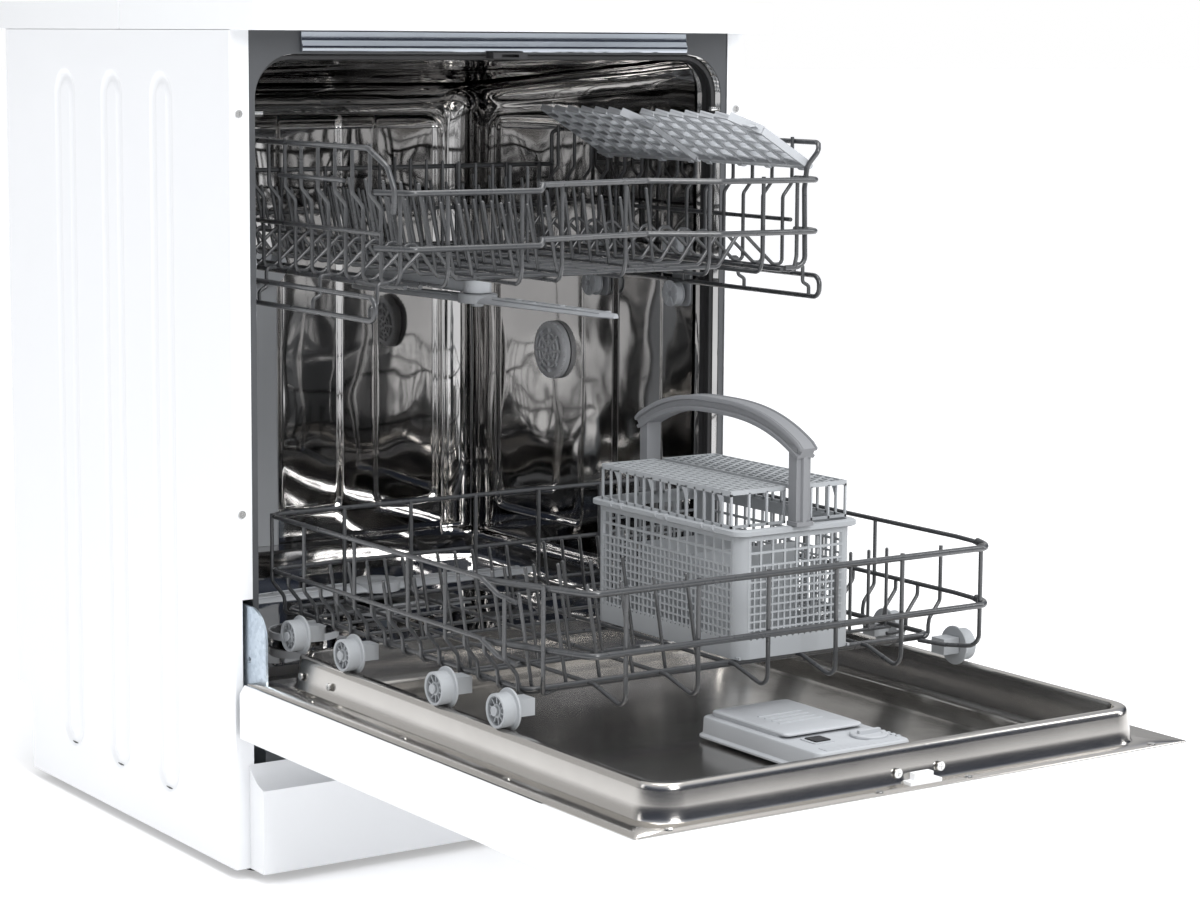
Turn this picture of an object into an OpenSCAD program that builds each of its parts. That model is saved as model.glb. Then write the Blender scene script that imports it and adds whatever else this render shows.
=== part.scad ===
// Freestanding dishwasher, door open and both racks drawn out.
// The front of the machine looks along -Y, +X is its right-hand side and Z is up.
// The pieces are drawn round the middle of the worktop, then moved together so that the origin
// is on the floor under the middle of the whole outline, open door included. Millimetres.

/* [Cabinet] */
// Width over the side panels
cabinet_w = 598; // [560:1:620]
// Depth of the side panels
cabinet_d = 530; // [510:1:560]
// Height from the floor to the top of the worktop
total_h = 845; // [835:1:870]
// Thickness of the worktop
worktop_t = 30; // [20:1:38]
// Depth of the worktop
worktop_d = 600; // [590:1:640]
// How far the worktop stands out in front of the side panels
worktop_overhang = 52; // [48:1:58]
// Sheet thickness of the outer panels
panel_t = 1.2; // [0.9:0.1:1.8]
// Height of the cabinet above the floor
foot_h = 10; // [8:1:20]
// Width of the side panels' folded front edge
flange_w = 20; // [16:1:23]
// Height of the kick plate's straight front
kick_h = 82; // [60:1:90]

/* [Tub] */
// Width inside the tub
tub_w = 532; // [524:1:536]
// Sheet thickness of the tub
tub_t = 1; // [0.6:0.1:1.4]
// Height of the ledges that carry the lower rack
ledge_z = 227.7; // [222:0.1:232]
// Depth of the sunken floor below the ledges
sunk = 32; // [24:1:36]
// How far the tub's ceiling lies below the worktop at the back
ceiling_rear_drop = 62; // [55:1:67]
// How far the tub's ceiling lies below the worktop at the front
ceiling_front_drop = 28; // [25:1:35]

/* [Door] */
// Height of the hinge axis
hinge_z = 170; // [166:1:174]
// Thickness of the door
door_t = 55; // [50:1:60]
// Height of the steel liner's rim above its flange
rim_h = 30.7; // [28:0.1:33]
// Width of the rim that the wheels run on
rim_w = 14.5; // [12:0.5:16]
// Length of the control panel's outer face
control_l = 89; // [80:1:110]

/* [Lower rack] */
// How far the lower rack stands drawn out
lower_rack_out = 455; // [400:1:455]
// Depth of the lower rack
lower_rack_d = 500; // [470:1:505]
// Height of the lower rack's walls
lower_rack_h = 95; // [80:1:110]
// Radius of a lower rack wheel's tread
wheel_r = 15; // [13:0.5:16]
// Number of tines in each row
tine_count = 9; // [6:1:10]

/* [Cutlery basket] */
// Length of the basket, front to back
basket_l = 240; // [220:1:250]
// Width of the basket over its rim
basket_w = 140; // [120:1:146]
// Height of the basket to its rim
basket_h = 118; // [110:1:125]
// Height of the handle's top above the rim
handle_rise = 105; // [90:1:108]

/* [Upper rack] */
// How far the upper rack stands drawn out
upper_rack_out = 222; // [150:1:222]
// Depth of the upper rack
upper_rack_d = 488; // [460:1:490]
// How far the upper rack's floor lies below the worktop
upper_rack_drop = 230; // [223:1:235]
// Height of the upper rack's side rails above its floor
upper_rack_h = 128; // [110:1:132]
// Depth of a cup shelf
shelf_w = 96; // [80:1:100]
// Angle of the cup shelves above level
shelf_angle = 31; // [10:1:40]

/* [Wires] */
// Thickness of the racks' rails and floor wires
wire = 4.5; // [3.5:0.1:5.5]
// Thickness of the tines
tine = 3.6; // [3:0.1:4.4]

/* [Hidden] */
$fn = 48;

// Colours
white = [0.93, 0.94, 0.95];
frame_grey = [0.36, 0.37, 0.39];
steel = [0.72, 0.72, 0.71];
dark_wire = [0.3, 0.31, 0.32];
light_grey = [0.7, 0.71, 0.73];
mid_grey = [0.52, 0.53, 0.55];
black = [0.08, 0.08, 0.09];
zinc = [0.76, 0.8, 0.82];

// Cabinet planes
half_w = cabinet_w / 2;
front_y = -worktop_d / 2 + worktop_overhang;
rear_y = front_y + cabinet_d;
top_z = total_h - worktop_t;
inner_w = half_w - panel_t;
flange_x = half_w - flange_w;
notch_d = 43;
notch_z = 100;
notch_r = 25;
bead_w = 45;
bead_l = 711;
bead_z = top_z - 44;
bead_pitch = 114;
bead_deep = 0.5;
// Heights of the screws in the front edges
side_screw_zs = [foot_h + 347, top_z - 78];

// Tub
ceiling_rear_z = top_z - ceiling_rear_drop;
ceiling_front_z = top_z - ceiling_front_drop;
tub_x = tub_w / 2;
mouth_x = flange_x - 7;
mouth_front_y = front_y + panel_t;
mouth_rear_y = front_y + 40;
tub_rear_y = rear_y - 30;
mouth_top_z = ceiling_front_z + 6;
mouth_r = 42;
sill_z = hinge_z + 4;
floor_z = ledge_z - sunk;
ledge_x = 250.5;
rear_ledge_y = tub_rear_y - 38;
sump_r = 80;
arm_hub_y = (mouth_rear_y + rear_ledge_y) / 2;
sump_y = arm_hub_y - 44;
lower_arm_l = 400;
salt_x = -150;
salt_y = arm_hub_y - 113;
salt_r = 34;
frame_t = 1.2;

// Door. The hinge axis runs along X at hinge_y and hinge_z.
door_gap = 2;
hinge_to_face = 27;
hinge_y = front_y - door_gap - hinge_to_face;
door_top = hinge_z + hinge_to_face;
door_bottom = door_top - door_t;
door_tip_y = hinge_y - (top_z - 4 - hinge_z);
door_root_y = hinge_y + 19;
door_sheet = 1;
liner_x = mouth_x - 7;
liner_root_y = hinge_y - 7;
liner_tip_y = door_tip_y + 20;
rim_z = door_top + rim_h;
liner_floor_z = door_top - 11;
rim_in_x = liner_x - rim_w;
liner_r = 32;
seam_y = door_tip_y + control_l;
seam_lean = 44;
latch_x = 4;
bracket_x = half_w - 17.5;
pin_r = 4;
running = 0.05;
seat = 0.1;

// Lower rack
lower_in_front_y = front_y - 9;
lower_front_y = lower_in_front_y - lower_rack_out;
lower_rear_y = lower_front_y + lower_rack_d;
wheel_z = ledge_z + 0.3 + wheel_r;
lower_floor_z = wheel_z + 9;
lower_x = 246;
lower_bulge = 60;
lower_cut = 43;
wheel_at = [53, 155, 320, 424];
axle_r = 3;
wheel_in_x = lower_x + 1;
flange_t = 3;
tread_w = 13;
flange_out = 3.5;

// Cutlery basket, standing in the lower rack
basket_x = 59;
basket_front_y = lower_front_y + 48;
basket_mid_y = basket_front_y + basket_l / 2;
basket_z = lower_floor_z + wire + seat;
rim_top_z = basket_z + basket_h;
basket_wall = 2;
lid_h = 34;
lid_split = 12;
handle_t = 20;
lid_axis_h = 2.4;

// Upper rack
upper_floor_z = top_z - upper_rack_drop;
upper_in_front_y = front_y + 8;
upper_front_y = upper_in_front_y - upper_rack_out;
upper_rear_y = upper_front_y + upper_rack_d;
upper_x = 248;
upper_bulge = 16;
runner_h = 26;
runner_t = 4;
roller_r = 12;
roller_axle_r = 3;
roller_w = 8;
runner_z = upper_floor_z - 32;
runner_x = upper_x + 4;
front_roller_y = front_y + 58;
rear_roller_y = front_y + 213;
arm_z = upper_floor_z - 40;
arm_l = 430;
feed_x = -8;
spray_y = (upper_front_y + upper_rear_y) / 2;
shelf_l = 178;
shelf_t = 3;
shelf_hinge_x = upper_x - wire - 3.8;
shelf_hinge_z = upper_floor_z + 101;
shelf_front_y = upper_front_y + 22;

module block(a, b) {
  translate(a) cube(b - a);
}

module both_sides() {
  children();
  mirror([1, 0, 0]) children();
}

// A flat outline drawn in Y and Z, thickened along +X from x
module in_yz(x, t) {
  translate([x, 0, 0]) rotate([90, 0, 90]) linear_extrude(t) children();
}

// A flat outline drawn in X and Z, thickened along +Y from y
module in_xz(y, t) {
  translate([0, y + t, 0]) rotate([90, 0, 0]) linear_extrude(t) children();
}

// A rectangle between two corners with round corners
module round_rect(a, b, r) {
  translate([a[0] + r, a[1]]) square([b[0] - a[0] - 2 * r, b[1] - a[1]]);
  translate([a[0], a[1] + r]) square([b[0] - a[0], b[1] - a[1] - 2 * r]);
  for (x = [a[0] + r, b[0] - r], y = [a[1] + r, b[1] - r]) translate([x, y]) circle(r);
}

module rect_ring(a, b, r, t) {
  difference() {
    round_rect(a, b, r);
    round_rect(a + [t, t], b - [t, t], max(r - t, 0.5));
  }
}

module along_x(r, h) {
  rotate([0, 90, 0]) cylinder(r = r, h = h);
}

module along_y(r, h) {
  rotate([-90, 0, 0]) cylinder(r = r, h = h);
}

// A straight bar in a flat outline, from a to b, w wide
module bar(a, b, w) {
  d = b - a;
  translate(a) rotate(atan2(d[1], d[0])) translate([0, -w / 2]) square([norm(d), w]);
}

module worktop() {
  color(white)
    translate([0, 0, top_z]) linear_extrude(worktop_t)
      round_rect([-half_w, -worktop_d / 2], [half_w, worktop_d / 2], 4);
}

module bead_outlines() {
  for (i = [-1 : 1]) {
    y = front_y + cabinet_d / 2 - 3 + i * bead_pitch;
    round_rect([y - bead_w / 2, bead_z - bead_l], [y + bead_w / 2, bead_z], bead_w / 2 - 0.01);
  }
}

// The slot in the folded front edge that the hinge arm swings through
module hinge_slot() {
  block([flange_x - 1, front_y - 1, hinge_z - 24], [bracket_x + 8, front_y + 12, hinge_z + 104]);
}

// The right-hand side panel: a sheet with three pressed beads, a folded front edge and a folded back edge
module side_panel() {
  difference() {
    union() {
      in_yz(half_w - panel_t, panel_t) difference() {
        translate([front_y, foot_h]) square([cabinet_d, top_z - foot_h]);
        translate([rear_y - notch_d, foot_h - 1]) square([notch_d + 1, notch_z - notch_r - foot_h + 1]);
        translate([rear_y - notch_d + notch_r, foot_h - 1]) square([notch_d, notch_z - foot_h + 1]);
        translate([rear_y - notch_d + notch_r, notch_z - notch_r]) circle(notch_r);
      }
      block([flange_x, front_y, foot_h], [half_w, front_y + panel_t, top_z]);
      block([half_w - 12, rear_y - panel_t, notch_z], [half_w, rear_y, top_z]);
    }
    in_yz(half_w - bead_deep, 1) bead_outlines();
    hinge_slot();
  }
}

module right_side_panel() {
  color(white) side_panel();
}

module left_side_panel() {
  color(white) mirror([1, 0, 0]) side_panel();
}

module rear_panel() {
  color([0.75, 0.76, 0.77])
    in_xz(rear_y - 2 * panel_t - seat, panel_t) difference() {
      translate([-inner_w + seat, notch_z]) square([2 * (inner_w - seat), top_z - notch_z]);
      for (z = [top_z - 120 : -36 : top_z - 228]) round_rect([-60, z], [60, z + 12], 5);
    }
}

// The plastic floor tray that carries everything below the tub
module base_tray() {
  tray_x = inner_w - seat;
  tray_y = rear_y - notch_d - seat;
  color(black) difference() {
    block([-tray_x, front_y + 4, foot_h + 2], [tray_x, tray_y, foot_h + 50]);
    block([-tray_x + 3, front_y + 7, foot_h + 5], [tray_x - 3, tray_y - 3, foot_h + 51]);
    foot_positions() translate([0, 0, foot_h]) cylinder(r = 5, h = 30);
  }
}

module foot_positions() {
  for (x = [-1, 1], y = [front_y + 32, rear_y - notch_d - 40]) translate([x * (half_w - 45), y, 0]) children();
}

module levelling_feet() {
  color(black) foot_positions() {
    cylinder(r = 19, h = 6);
    translate([0, 0, 6]) cylinder(r = 12, h = foot_h - 4);
    translate([0, 0, foot_h + 2]) cylinder(r = 4.9, h = 24);
  }
}

// The painted sheet round the mouth of the tub
module front_frame() {
  y = front_y + panel_t + seat;
  color(frame_grey) difference() {
    in_xz(y, frame_t) difference() {
      translate([-inner_w + seat, sill_z - 34]) square([2 * (inner_w - seat), top_z - sill_z + 34]);
      round_rect([-mouth_x, sill_z], [mouth_x, mouth_top_z], mouth_r);
    }
    both_sides() hinge_slot();
  }
}

module top_crossbar() {
  bar_x = half_w - 75;
  color([0.78, 0.79, 0.8]) {
    block([-bar_x, front_y - 3, mouth_top_z + 8], [bar_x, front_y + panel_t, top_z - 1]);
    block([-bar_x, front_y - 5, mouth_top_z + 2], [bar_x, front_y + panel_t, mouth_top_z + 8]);
  }
}

module latch_catch() {
  color(black) difference() {
    block([latch_x - 20, front_y - 12, mouth_top_z - 4], [latch_x + 20, front_y + panel_t, mouth_top_z + 2 - seat]);
    block([latch_x - 10, front_y - 13, mouth_top_z - 3], [latch_x + 10, front_y - 4, mouth_top_z]);
  }
}

module tub() {
  t = tub_t;
  y0 = mouth_rear_y - t;
  y1 = tub_rear_y + t;
  color(steel) {
    difference() {
      union() {
        // side walls, sloping ceiling and back wall
        both_sides() in_yz(tub_x, t) polygon([[y0, ledge_z - t], [y1, ledge_z - t], [y1, ceiling_rear_z + t],
          [tub_rear_y, ceiling_rear_z + t], [mouth_rear_y, ceiling_front_z + t], [y0, ceiling_front_z + t]]);
        in_yz(-tub_x - t, 2 * (tub_x + t)) polygon([[y0, ceiling_front_z], [mouth_rear_y, ceiling_front_z],
          [tub_rear_y, ceiling_rear_z], [y1, ceiling_rear_z], [y1, ceiling_rear_z + t],
          [tub_rear_y, ceiling_rear_z + t], [mouth_rear_y, ceiling_front_z + t], [y0, ceiling_front_z + t]]);
        block([-tub_x - t, tub_rear_y, ledge_z - t], [tub_x + t, y1, ceiling_rear_z + t]);
        // the mouth that holds the seal, and the step from it to the walls
        in_xz(mouth_front_y + frame_t + 2 * seat, mouth_rear_y - mouth_front_y - frame_t - 2 * seat)
          rect_ring([-mouth_x - t, sill_z - t], [mouth_x + t, mouth_top_z + t], mouth_r + t, t);
        in_xz(y0, t) difference() {
          round_rect([-mouth_x - t, sill_z - t], [mouth_x + t, mouth_top_z + t], mouth_r + t);
          round_rect([-tub_x, sill_z], [tub_x, ceiling_front_z], mouth_r);
        }
        // floor ledges, the sunken floor and the risers between them
        both_sides() {
          block([ledge_x, y0, ledge_z - t], [tub_x + t, y1, ledge_z]);
          block([ledge_x, y0, floor_z - t], [ledge_x + t, y1, ledge_z]);
          block([ledge_x, y0, sill_z - t], [tub_x + t, mouth_rear_y, ledge_z]);
        }
        block([-ledge_x, rear_ledge_y, ledge_z - t], [ledge_x, y1, ledge_z]);
        block([-ledge_x, rear_ledge_y, floor_z - t], [ledge_x, rear_ledge_y + t, ledge_z]);
        block([-ledge_x - t, y0, floor_z - t], [ledge_x + t, rear_ledge_y + t, floor_z]);
        block([-ledge_x, y0, sill_z - t], [ledge_x, mouth_rear_y, floor_z]);
      }
      translate([0, sump_y, floor_z - 5]) cylinder(r = sump_r, h = 10);
      translate([salt_x, salt_y, floor_z - 5]) cylinder(r = salt_r, h = 10);
    }
  }
}

module door_seal() {
  y = mouth_front_y + frame_t + 2 * seat;
  color(black) in_xz(y + 8, 18)
    rect_ring([-mouth_x + seat, sill_z + seat], [mouth_x - seat, mouth_top_z - seat], mouth_r, 5.5);
}

// Kick plate with the hollow curve above it that clears the door's lower edge
module kick_plate() {
  kick_x = half_w - 15;
  y0 = front_y - 29;
  z1 = foot_h + kick_h;
  cove_r = 46;
  wall = 2.5;
  color(white) {
    difference() {
      in_yz(-kick_x, 2 * kick_x) difference() {
        polygon([[y0, foot_h], [front_y - seat, foot_h], [front_y - seat, z1 + cove_r - 6], [y0, z1 + cove_r - 6]]);
        translate([y0 - 10, z1 + cove_r - 1]) circle(cove_r);
      }
      in_yz(-kick_x + wall, 2 * (kick_x - wall)) difference() {
        polygon([[y0 + wall, foot_h - 1], [front_y + 1, foot_h - 1], [front_y + 1, z1 + cove_r - 6 - wall],
          [y0 + wall, z1 + cove_r - 6 - wall]]);
        translate([y0 - 10, z1 + cove_r - 1]) circle(cove_r + wall);
      }
    }
  }
}

// Cabinet side of each hinge: a tongue that stands forward under the door, with the hinge pin
module hinge_brackets() {
  color(zinc) both_sides() {
    in_yz(bracket_x, 2.5) difference() {
      union() {
        translate([hinge_y - 9, hinge_z - 12]) square([front_y - hinge_y + 15 + 40, 24]);
        translate([front_y + panel_t + 2, foot_h + 50 + seat]) square([50, hinge_z + 12 - foot_h - 50 - seat]);
        translate([hinge_y, hinge_z]) circle(12);
      }
    }
    translate([bracket_x + 1, hinge_y, hinge_z]) along_x(pin_r, 8);
    block([bracket_x - 20, front_y + panel_t + 2, foot_h + 50 + seat], [bracket_x + 1, front_y + 50, foot_h + 53]);
  }
}

// Springs that hold the door's weight, each between a post and the front edge
spring_r = 7;
spring_l = 180;
spring_start = 70;
spring_rise = 80;
spring_post_y = 248;
spring_post_d = 14;
spring_seat_rise = 50;
module hinge_springs() {
  spring_z = foot_h + spring_rise;
  post_y = front_y + spring_post_y;
  color(zinc) both_sides() {
    translate([bracket_x - 9, front_y + spring_start, spring_z]) along_y(spring_r, spring_l);
    block([bracket_x - 11, post_y, foot_h + spring_seat_rise + seat],
      [bracket_x - 7, post_y + spring_post_d, spring_z + 4]);
    block([bracket_x - 11, front_y + 62, spring_z - 2], [bracket_x - 7, front_y + 72, spring_z + 2]);
    block([bracket_x - 11, front_y + 51, spring_z - 2], [bracket_x - seat, front_y + 63, spring_z + 2]);
  }
}

// Wall plates with the fixed pins of the eight rollers
module roller_brackets() {
  plate_x = tub_x - 2.2;
  color(mid_grey) both_sides() {
    for (y = [front_roller_y, rear_roller_y]) {
      in_yz(plate_x, 2) round_rect([y - 16, runner_z - 26], [y + 16, runner_z + runner_h + 27], 8);
      for (z = roller_heights()) translate([runner_x - 3, y, z]) along_x(roller_axle_r, plate_x - runner_x + 4);
    }
  }
}

function roller_heights() = [runner_z - roller_r - 0.3, runner_z + runner_h + roller_r + 0.3];

// One left and one right roller on the same axis
module roller_pair(y, z) {
  color(light_grey) both_sides() difference() {
    union() {
      translate([runner_x - 2, y, z]) along_x(roller_r, roller_w);
      translate([runner_x + roller_w - 2, y, z]) along_x(roller_r + 2, 1.2);
      translate([runner_x - 3.2, y, z]) along_x(roller_r + 2, 1.2);
    }
    translate([runner_x - 4, y, z]) along_x(roller_axle_r + running, 14);
  }
}

module front_lower_rollers() { roller_pair(front_roller_y, roller_heights()[0]); }
module rear_lower_rollers() { roller_pair(rear_roller_y, roller_heights()[0]); }
module front_upper_rollers() { roller_pair(front_roller_y, roller_heights()[1]); }
module rear_upper_rollers() { roller_pair(rear_roller_y, roller_heights()[1]); }

vent_back = 310;
vent_y = front_y + vent_back;
vent_z = ledge_z + 229;
vent_r = 33;
// Round grille on the right-hand wall where the tub breathes
module vent_cap() {
  color(mid_grey) translate([tub_x - seat - 8, vent_y, vent_z]) difference() {
    union() {
      translate([2, 0, 0]) along_x(vent_r, 6);
      along_x(vent_r - 5, 8);
    }
    for (a = [0 : 45 : 315]) rotate([a, 0, 0]) block([-1, 10, -2.5], [5, vent_r - 9, 2.5]);
    translate([-1, 0, 0]) along_x(5, 4);
  }
}

duct_w = 37;
duct_drop = 56;
duct_top_z = upper_floor_z - duct_drop;
// Plastic channel on the back wall that feeds the upper spray arm
module water_feed_duct() {
  y0 = tub_rear_y - 24;
  color(light_grey) {
    block([feed_x - duct_w / 2, tub_rear_y - 8, ledge_z + seat],
      [feed_x + duct_w / 2, tub_rear_y - seat, duct_top_z + 1]);
    difference() {
      block([feed_x - duct_w / 2 - 4, y0, duct_top_z], [feed_x + duct_w / 2 + 4, tub_rear_y - seat, duct_top_z + 44]);
      translate([feed_x, y0 - 1, arm_z + 17]) along_y(10, 16);
    }
  }
}

module sump() {
  z1 = floor_z - tub_t - seat;
  color(mid_grey) translate([0, sump_y, 0]) difference() {
    union() {
      translate([0, 0, z1 - 4]) cylinder(r = sump_r + 12, h = 4);
      translate([0, 0, z1 - 70]) cylinder(r = sump_r - 8, h = 68);
      translate([sump_r - 20, 0, z1 - 46]) along_x(18, 30);
      translate([-sump_r - 8, 0, z1 - 54]) along_x(12, 30);
    }
    translate([0, 0, z1 - 66]) cylinder(r = sump_r - 12, h = 70);
  }
}

cup_r = 40;
cup_y = sump_y - 20;
// Steel sieve over the sump with the opening for the filter cup
module filter_plate() {
  color(steel) translate([0, 0, floor_z]) difference() {
    translate([0, sump_y, 0]) {
      translate([0, 0, -0.9]) cylinder(r = sump_r - 0.3, h = 2);
      translate([0, 0, seat]) cylinder(r = sump_r + 5, h = 1);
    }
    translate([0, cup_y, -2]) cylinder(r = cup_r + 0.3, h = 5);
    translate([0, arm_hub_y, -2]) cylinder(r = 8.3, h = 5);
  }
}

module filter_cup() {
  color(mid_grey) translate([0, cup_y, 0]) difference() {
    union() {
      translate([0, 0, floor_z - 40]) cylinder(r = cup_r - 6, h = 42);
      translate([0, 0, floor_z - 3]) cylinder(r = cup_r, h = 3.7);
      translate([0, 0, floor_z + 1.4]) cylinder(r = cup_r + 4, h = 2);
      translate([0, 0, floor_z]) cylinder(r = cup_r - 6, h = 3);
      translate([-22, -3, floor_z + 3]) cube([44, 6, 12]);
    }
    translate([0, 0, floor_z - 38]) difference() {
      cylinder(r = cup_r - 8, h = 60);
      translate([-24, -3, 0]) cube([48, 6, 60]);
      translate([0, 0, 37]) cylinder(r = cup_r - 20, h = 4);
    }
  }
}

// The wash pump lies beside the sump on a foot
pump_drop = 46;
pump_neck_r = 36;
pump_neck_l = 34;
pump_body_r = 42;
pump_body_l = 96;
pump_foot_x = 50;
pump_foot_l = 60;
pump_foot_w = 52;
module circulation_pump() {
  x0 = sump_r + 10.5;
  foot_x = x0 + pump_foot_x;
  z = floor_z - tub_t - seat - pump_drop;
  color([0.2, 0.21, 0.22]) translate([0, sump_y, 0]) {
    translate([x0, 0, z]) along_x(pump_neck_r, pump_neck_l);
    translate([x0 + pump_neck_l, 0, z]) along_x(pump_body_r, pump_body_l);
    block([foot_x, -pump_foot_w / 2, foot_h + 5 + seat], [foot_x + pump_foot_l, pump_foot_w / 2, z - 30]);
  }
}

module drain_pump() {
  z = floor_z - tub_t - seat - 54;
  x1 = -sump_r - 8.5;
  color([0.25, 0.26, 0.28]) translate([0, sump_y, 0]) {
    translate([x1 - 62, 0, z]) along_x(26, 62);
    block([x1 - 52, -16, foot_h + 5 + seat], [x1 - 12, 16, z - 18]);
    translate([x1 - 40, 0, z]) along_y(9, 60);
  }
}

// Salt container of the water softener, with its neck in the tub floor
module water_softener() {
  z1 = floor_z - tub_t - seat;
  color(light_grey) difference() {
    union() {
      block([salt_x - 94, salt_y - 95, foot_h + 5 + seat], [salt_x + 58, salt_y + 38, z1 - 24]);
      translate([salt_x, salt_y, z1 - 26]) cylinder(r = salt_r + 5, h = 26);
      translate([salt_x, salt_y, z1 - 4]) cylinder(r = salt_r - 1, h = 9);
    }
    block([salt_x - 90, salt_y - 91, foot_h + 9], [salt_x + 54, salt_y + 34, z1 - 28]);
    translate([salt_x, salt_y, z1 - 40]) cylinder(r = salt_r - 6, h = 60);
  }
}

module salt_cap() {
  z = floor_z + 5;
  color(light_grey) translate([salt_x, salt_y, 0]) {
    translate([0, 0, z]) cylinder(r = salt_r + 2, h = 7);
    translate([0, 0, z - 16]) cylinder(r = salt_r - 6 - running, h = 17);
    translate([-24, -4, z + 7]) cube([48, 8, 7]);
  }
}

module inlet_valve() {
  x = -half_w + 110;
  y1 = rear_y - notch_d;
  z = foot_h + 30;
  color(white) {
    block([x - 22, y1 - 60, foot_h + 5 + seat], [x + 22, y1 - 4, foot_h + 62]);
    block([x - 15, y1 - 4.5, foot_h + 51], [x + 15, y1 + 3, foot_h + 62]);
    difference() {
      translate([x, y1 + 3, foot_h + 60]) along_y(13.2, 14);
      translate([x, y1 + 4, foot_h + 60]) along_y(9, 15);
    }
  }
}

module cord_gland() {
  x = half_w - 60;
  y1 = rear_y - notch_d;
  color(black) difference() {
    union() {
      block([x - 16, y1 - 12, foot_h + 50 + seat], [x + 16, y1 - seat, foot_h + 82]);
      translate([x, y1 - seat - 1, foot_h + 66]) along_y(9, 11);
    }
    translate([x, y1 - 20, foot_h + 66]) along_y(4, 50);
  }
}

// A cross-head screw seen from its head, pointing along -Y
module screw_head(r) {
  difference() {
    rotate([90, 0, 0]) cylinder(r = r, h = 1.6);
    block([-r * 0.6, -2, -0.4], [r * 0.6, -1, 0.4]);
    block([-0.4, -2, -r * 0.6], [0.4, -1, r * 0.6]);
  }
}

module cabinet_screws() {
  color(zinc) both_sides() {
    for (z = side_screw_zs) translate([half_w - 9, front_y - seat, z]) screw_head(3.6);
    translate([mouth_x - 10, front_y + 6.5, side_screw_zs[1]]) along_x(2.6, 9.9);
  }
}

module lower_spray_arm() {
  z = floor_z + 20;
  color(light_grey) translate([0, arm_hub_y, 0]) {
    difference() {
      union() {
        translate([0, 0, floor_z - 20]) cylinder(r = 8, h = 42);
        translate([0, 0, z]) linear_extrude(9) round_rect([-lower_arm_l / 2, -17], [lower_arm_l / 2, 17], 16.9);
        translate([0, 0, z]) cylinder(r = 26, h = 13);
      }
      for (x = [-180 : 30 : 180]) translate([x, 6, z + 7]) cylinder(r = 1.6, h = 5);
    }
  }
}

// Outer sheet of the door, seen from below while the door is open
module door_outer_panel() {
  t = panel_t;
  x = half_w;
  color(white) difference() {
    block([-x, seam_y, door_bottom], [x, door_root_y, door_top - door_sheet - seat]);
    block([-x + t, seam_y - 1, door_bottom + t], [x - t, door_root_y - t, door_top]);
    in_yz(-x - 1, 2 * x + 2) polygon([[seam_y - 1, door_bottom], [seam_y, door_bottom],
      [seam_y + seam_lean, door_top], [seam_y - 1, door_top]]);
    // the root edge is cut back so that it clears the cabinet as the door turns
    in_yz(-x - 1, 2 * x + 2) polygon([[door_root_y + 1, door_top + 1], [door_root_y - 10, door_top + 1],
      [door_root_y - 10, door_top - 1], [door_root_y + 1, door_top - 12]]);
    both_sides() block([bracket_x - 6, door_root_y - 3, door_bottom + 6], [x - t, door_root_y + 1, door_top]);
  }
}

handle_x = 163;
// Plastic control panel with the finger grip in its outer face
module control_panel() {
  wall = 2.5;
  x = half_w;
  y0 = door_tip_y;
  y1 = seam_y - 0.4;
  color(white) difference() {
    union() {
      difference() {
        in_yz(-x, 2 * x) polygon([[y0, door_bottom], [y1, door_bottom],
          [y1 + seam_lean * (door_t - door_sheet - seat) / door_t, door_top - door_sheet - seat],
          [y0, door_top - door_sheet - seat]]);
        block([-x + wall, y0 + wall, door_bottom + wall], [x - wall, y1 + seam_lean, door_top]);
      }
      block([-handle_x - wall, y0 + 6, door_bottom], [handle_x + wall, y0 + 46, door_bottom + 22]);
      for (b = button_x) translate([b, y0 + 70, door_bottom + 1]) cylinder(r = 9, h = 12);
    }
    block([-handle_x, y0 + 8, door_bottom - 1], [handle_x, y0 + 44, door_bottom + 20]);
    block([-handle_x, y0 - 1, door_bottom - 1], [handle_x, y0 + 9, door_bottom + 1.2]);
    for (b = button_x) translate([b, y0 + 70, door_bottom - 1]) {
      cylinder(r = 6.2, h = 10);
      cylinder(r = 4, h = 16);
    }
  }
}

button_x = [-230, 215];
// A push button that stands in its bore in the control panel
module push_button(x) {
  translate([x, door_tip_y + 70, 0]) {
    translate([0, 0, door_bottom - 1.5]) cylinder(r = 6, h = 7);
    translate([0, 0, door_bottom + 5]) cylinder(r = 3.9, h = 14);
  }
}

module power_button() {
  color(light_grey) push_button(button_x[0]);
}

module programme_button() {
  color(light_grey) push_button(button_x[1]);
}

// A rounded rectangle in plan between two Y planes
module plan(x, y0, y1, r) {
  round_rect([-x, y0], [x, y1], r);
}

disp_x0 = -29;
disp_x1 = 76;
disp_y0 = door_tip_y + 112;
disp_y1 = disp_y0 + 174;
disp_top = liner_floor_z + 19;
cup_x0 = disp_x0 + 14;
cup_x1 = disp_x1 - 16;
cup_y0 = disp_y0 + 62;
cup_y1 = disp_y1 - 10;

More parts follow.
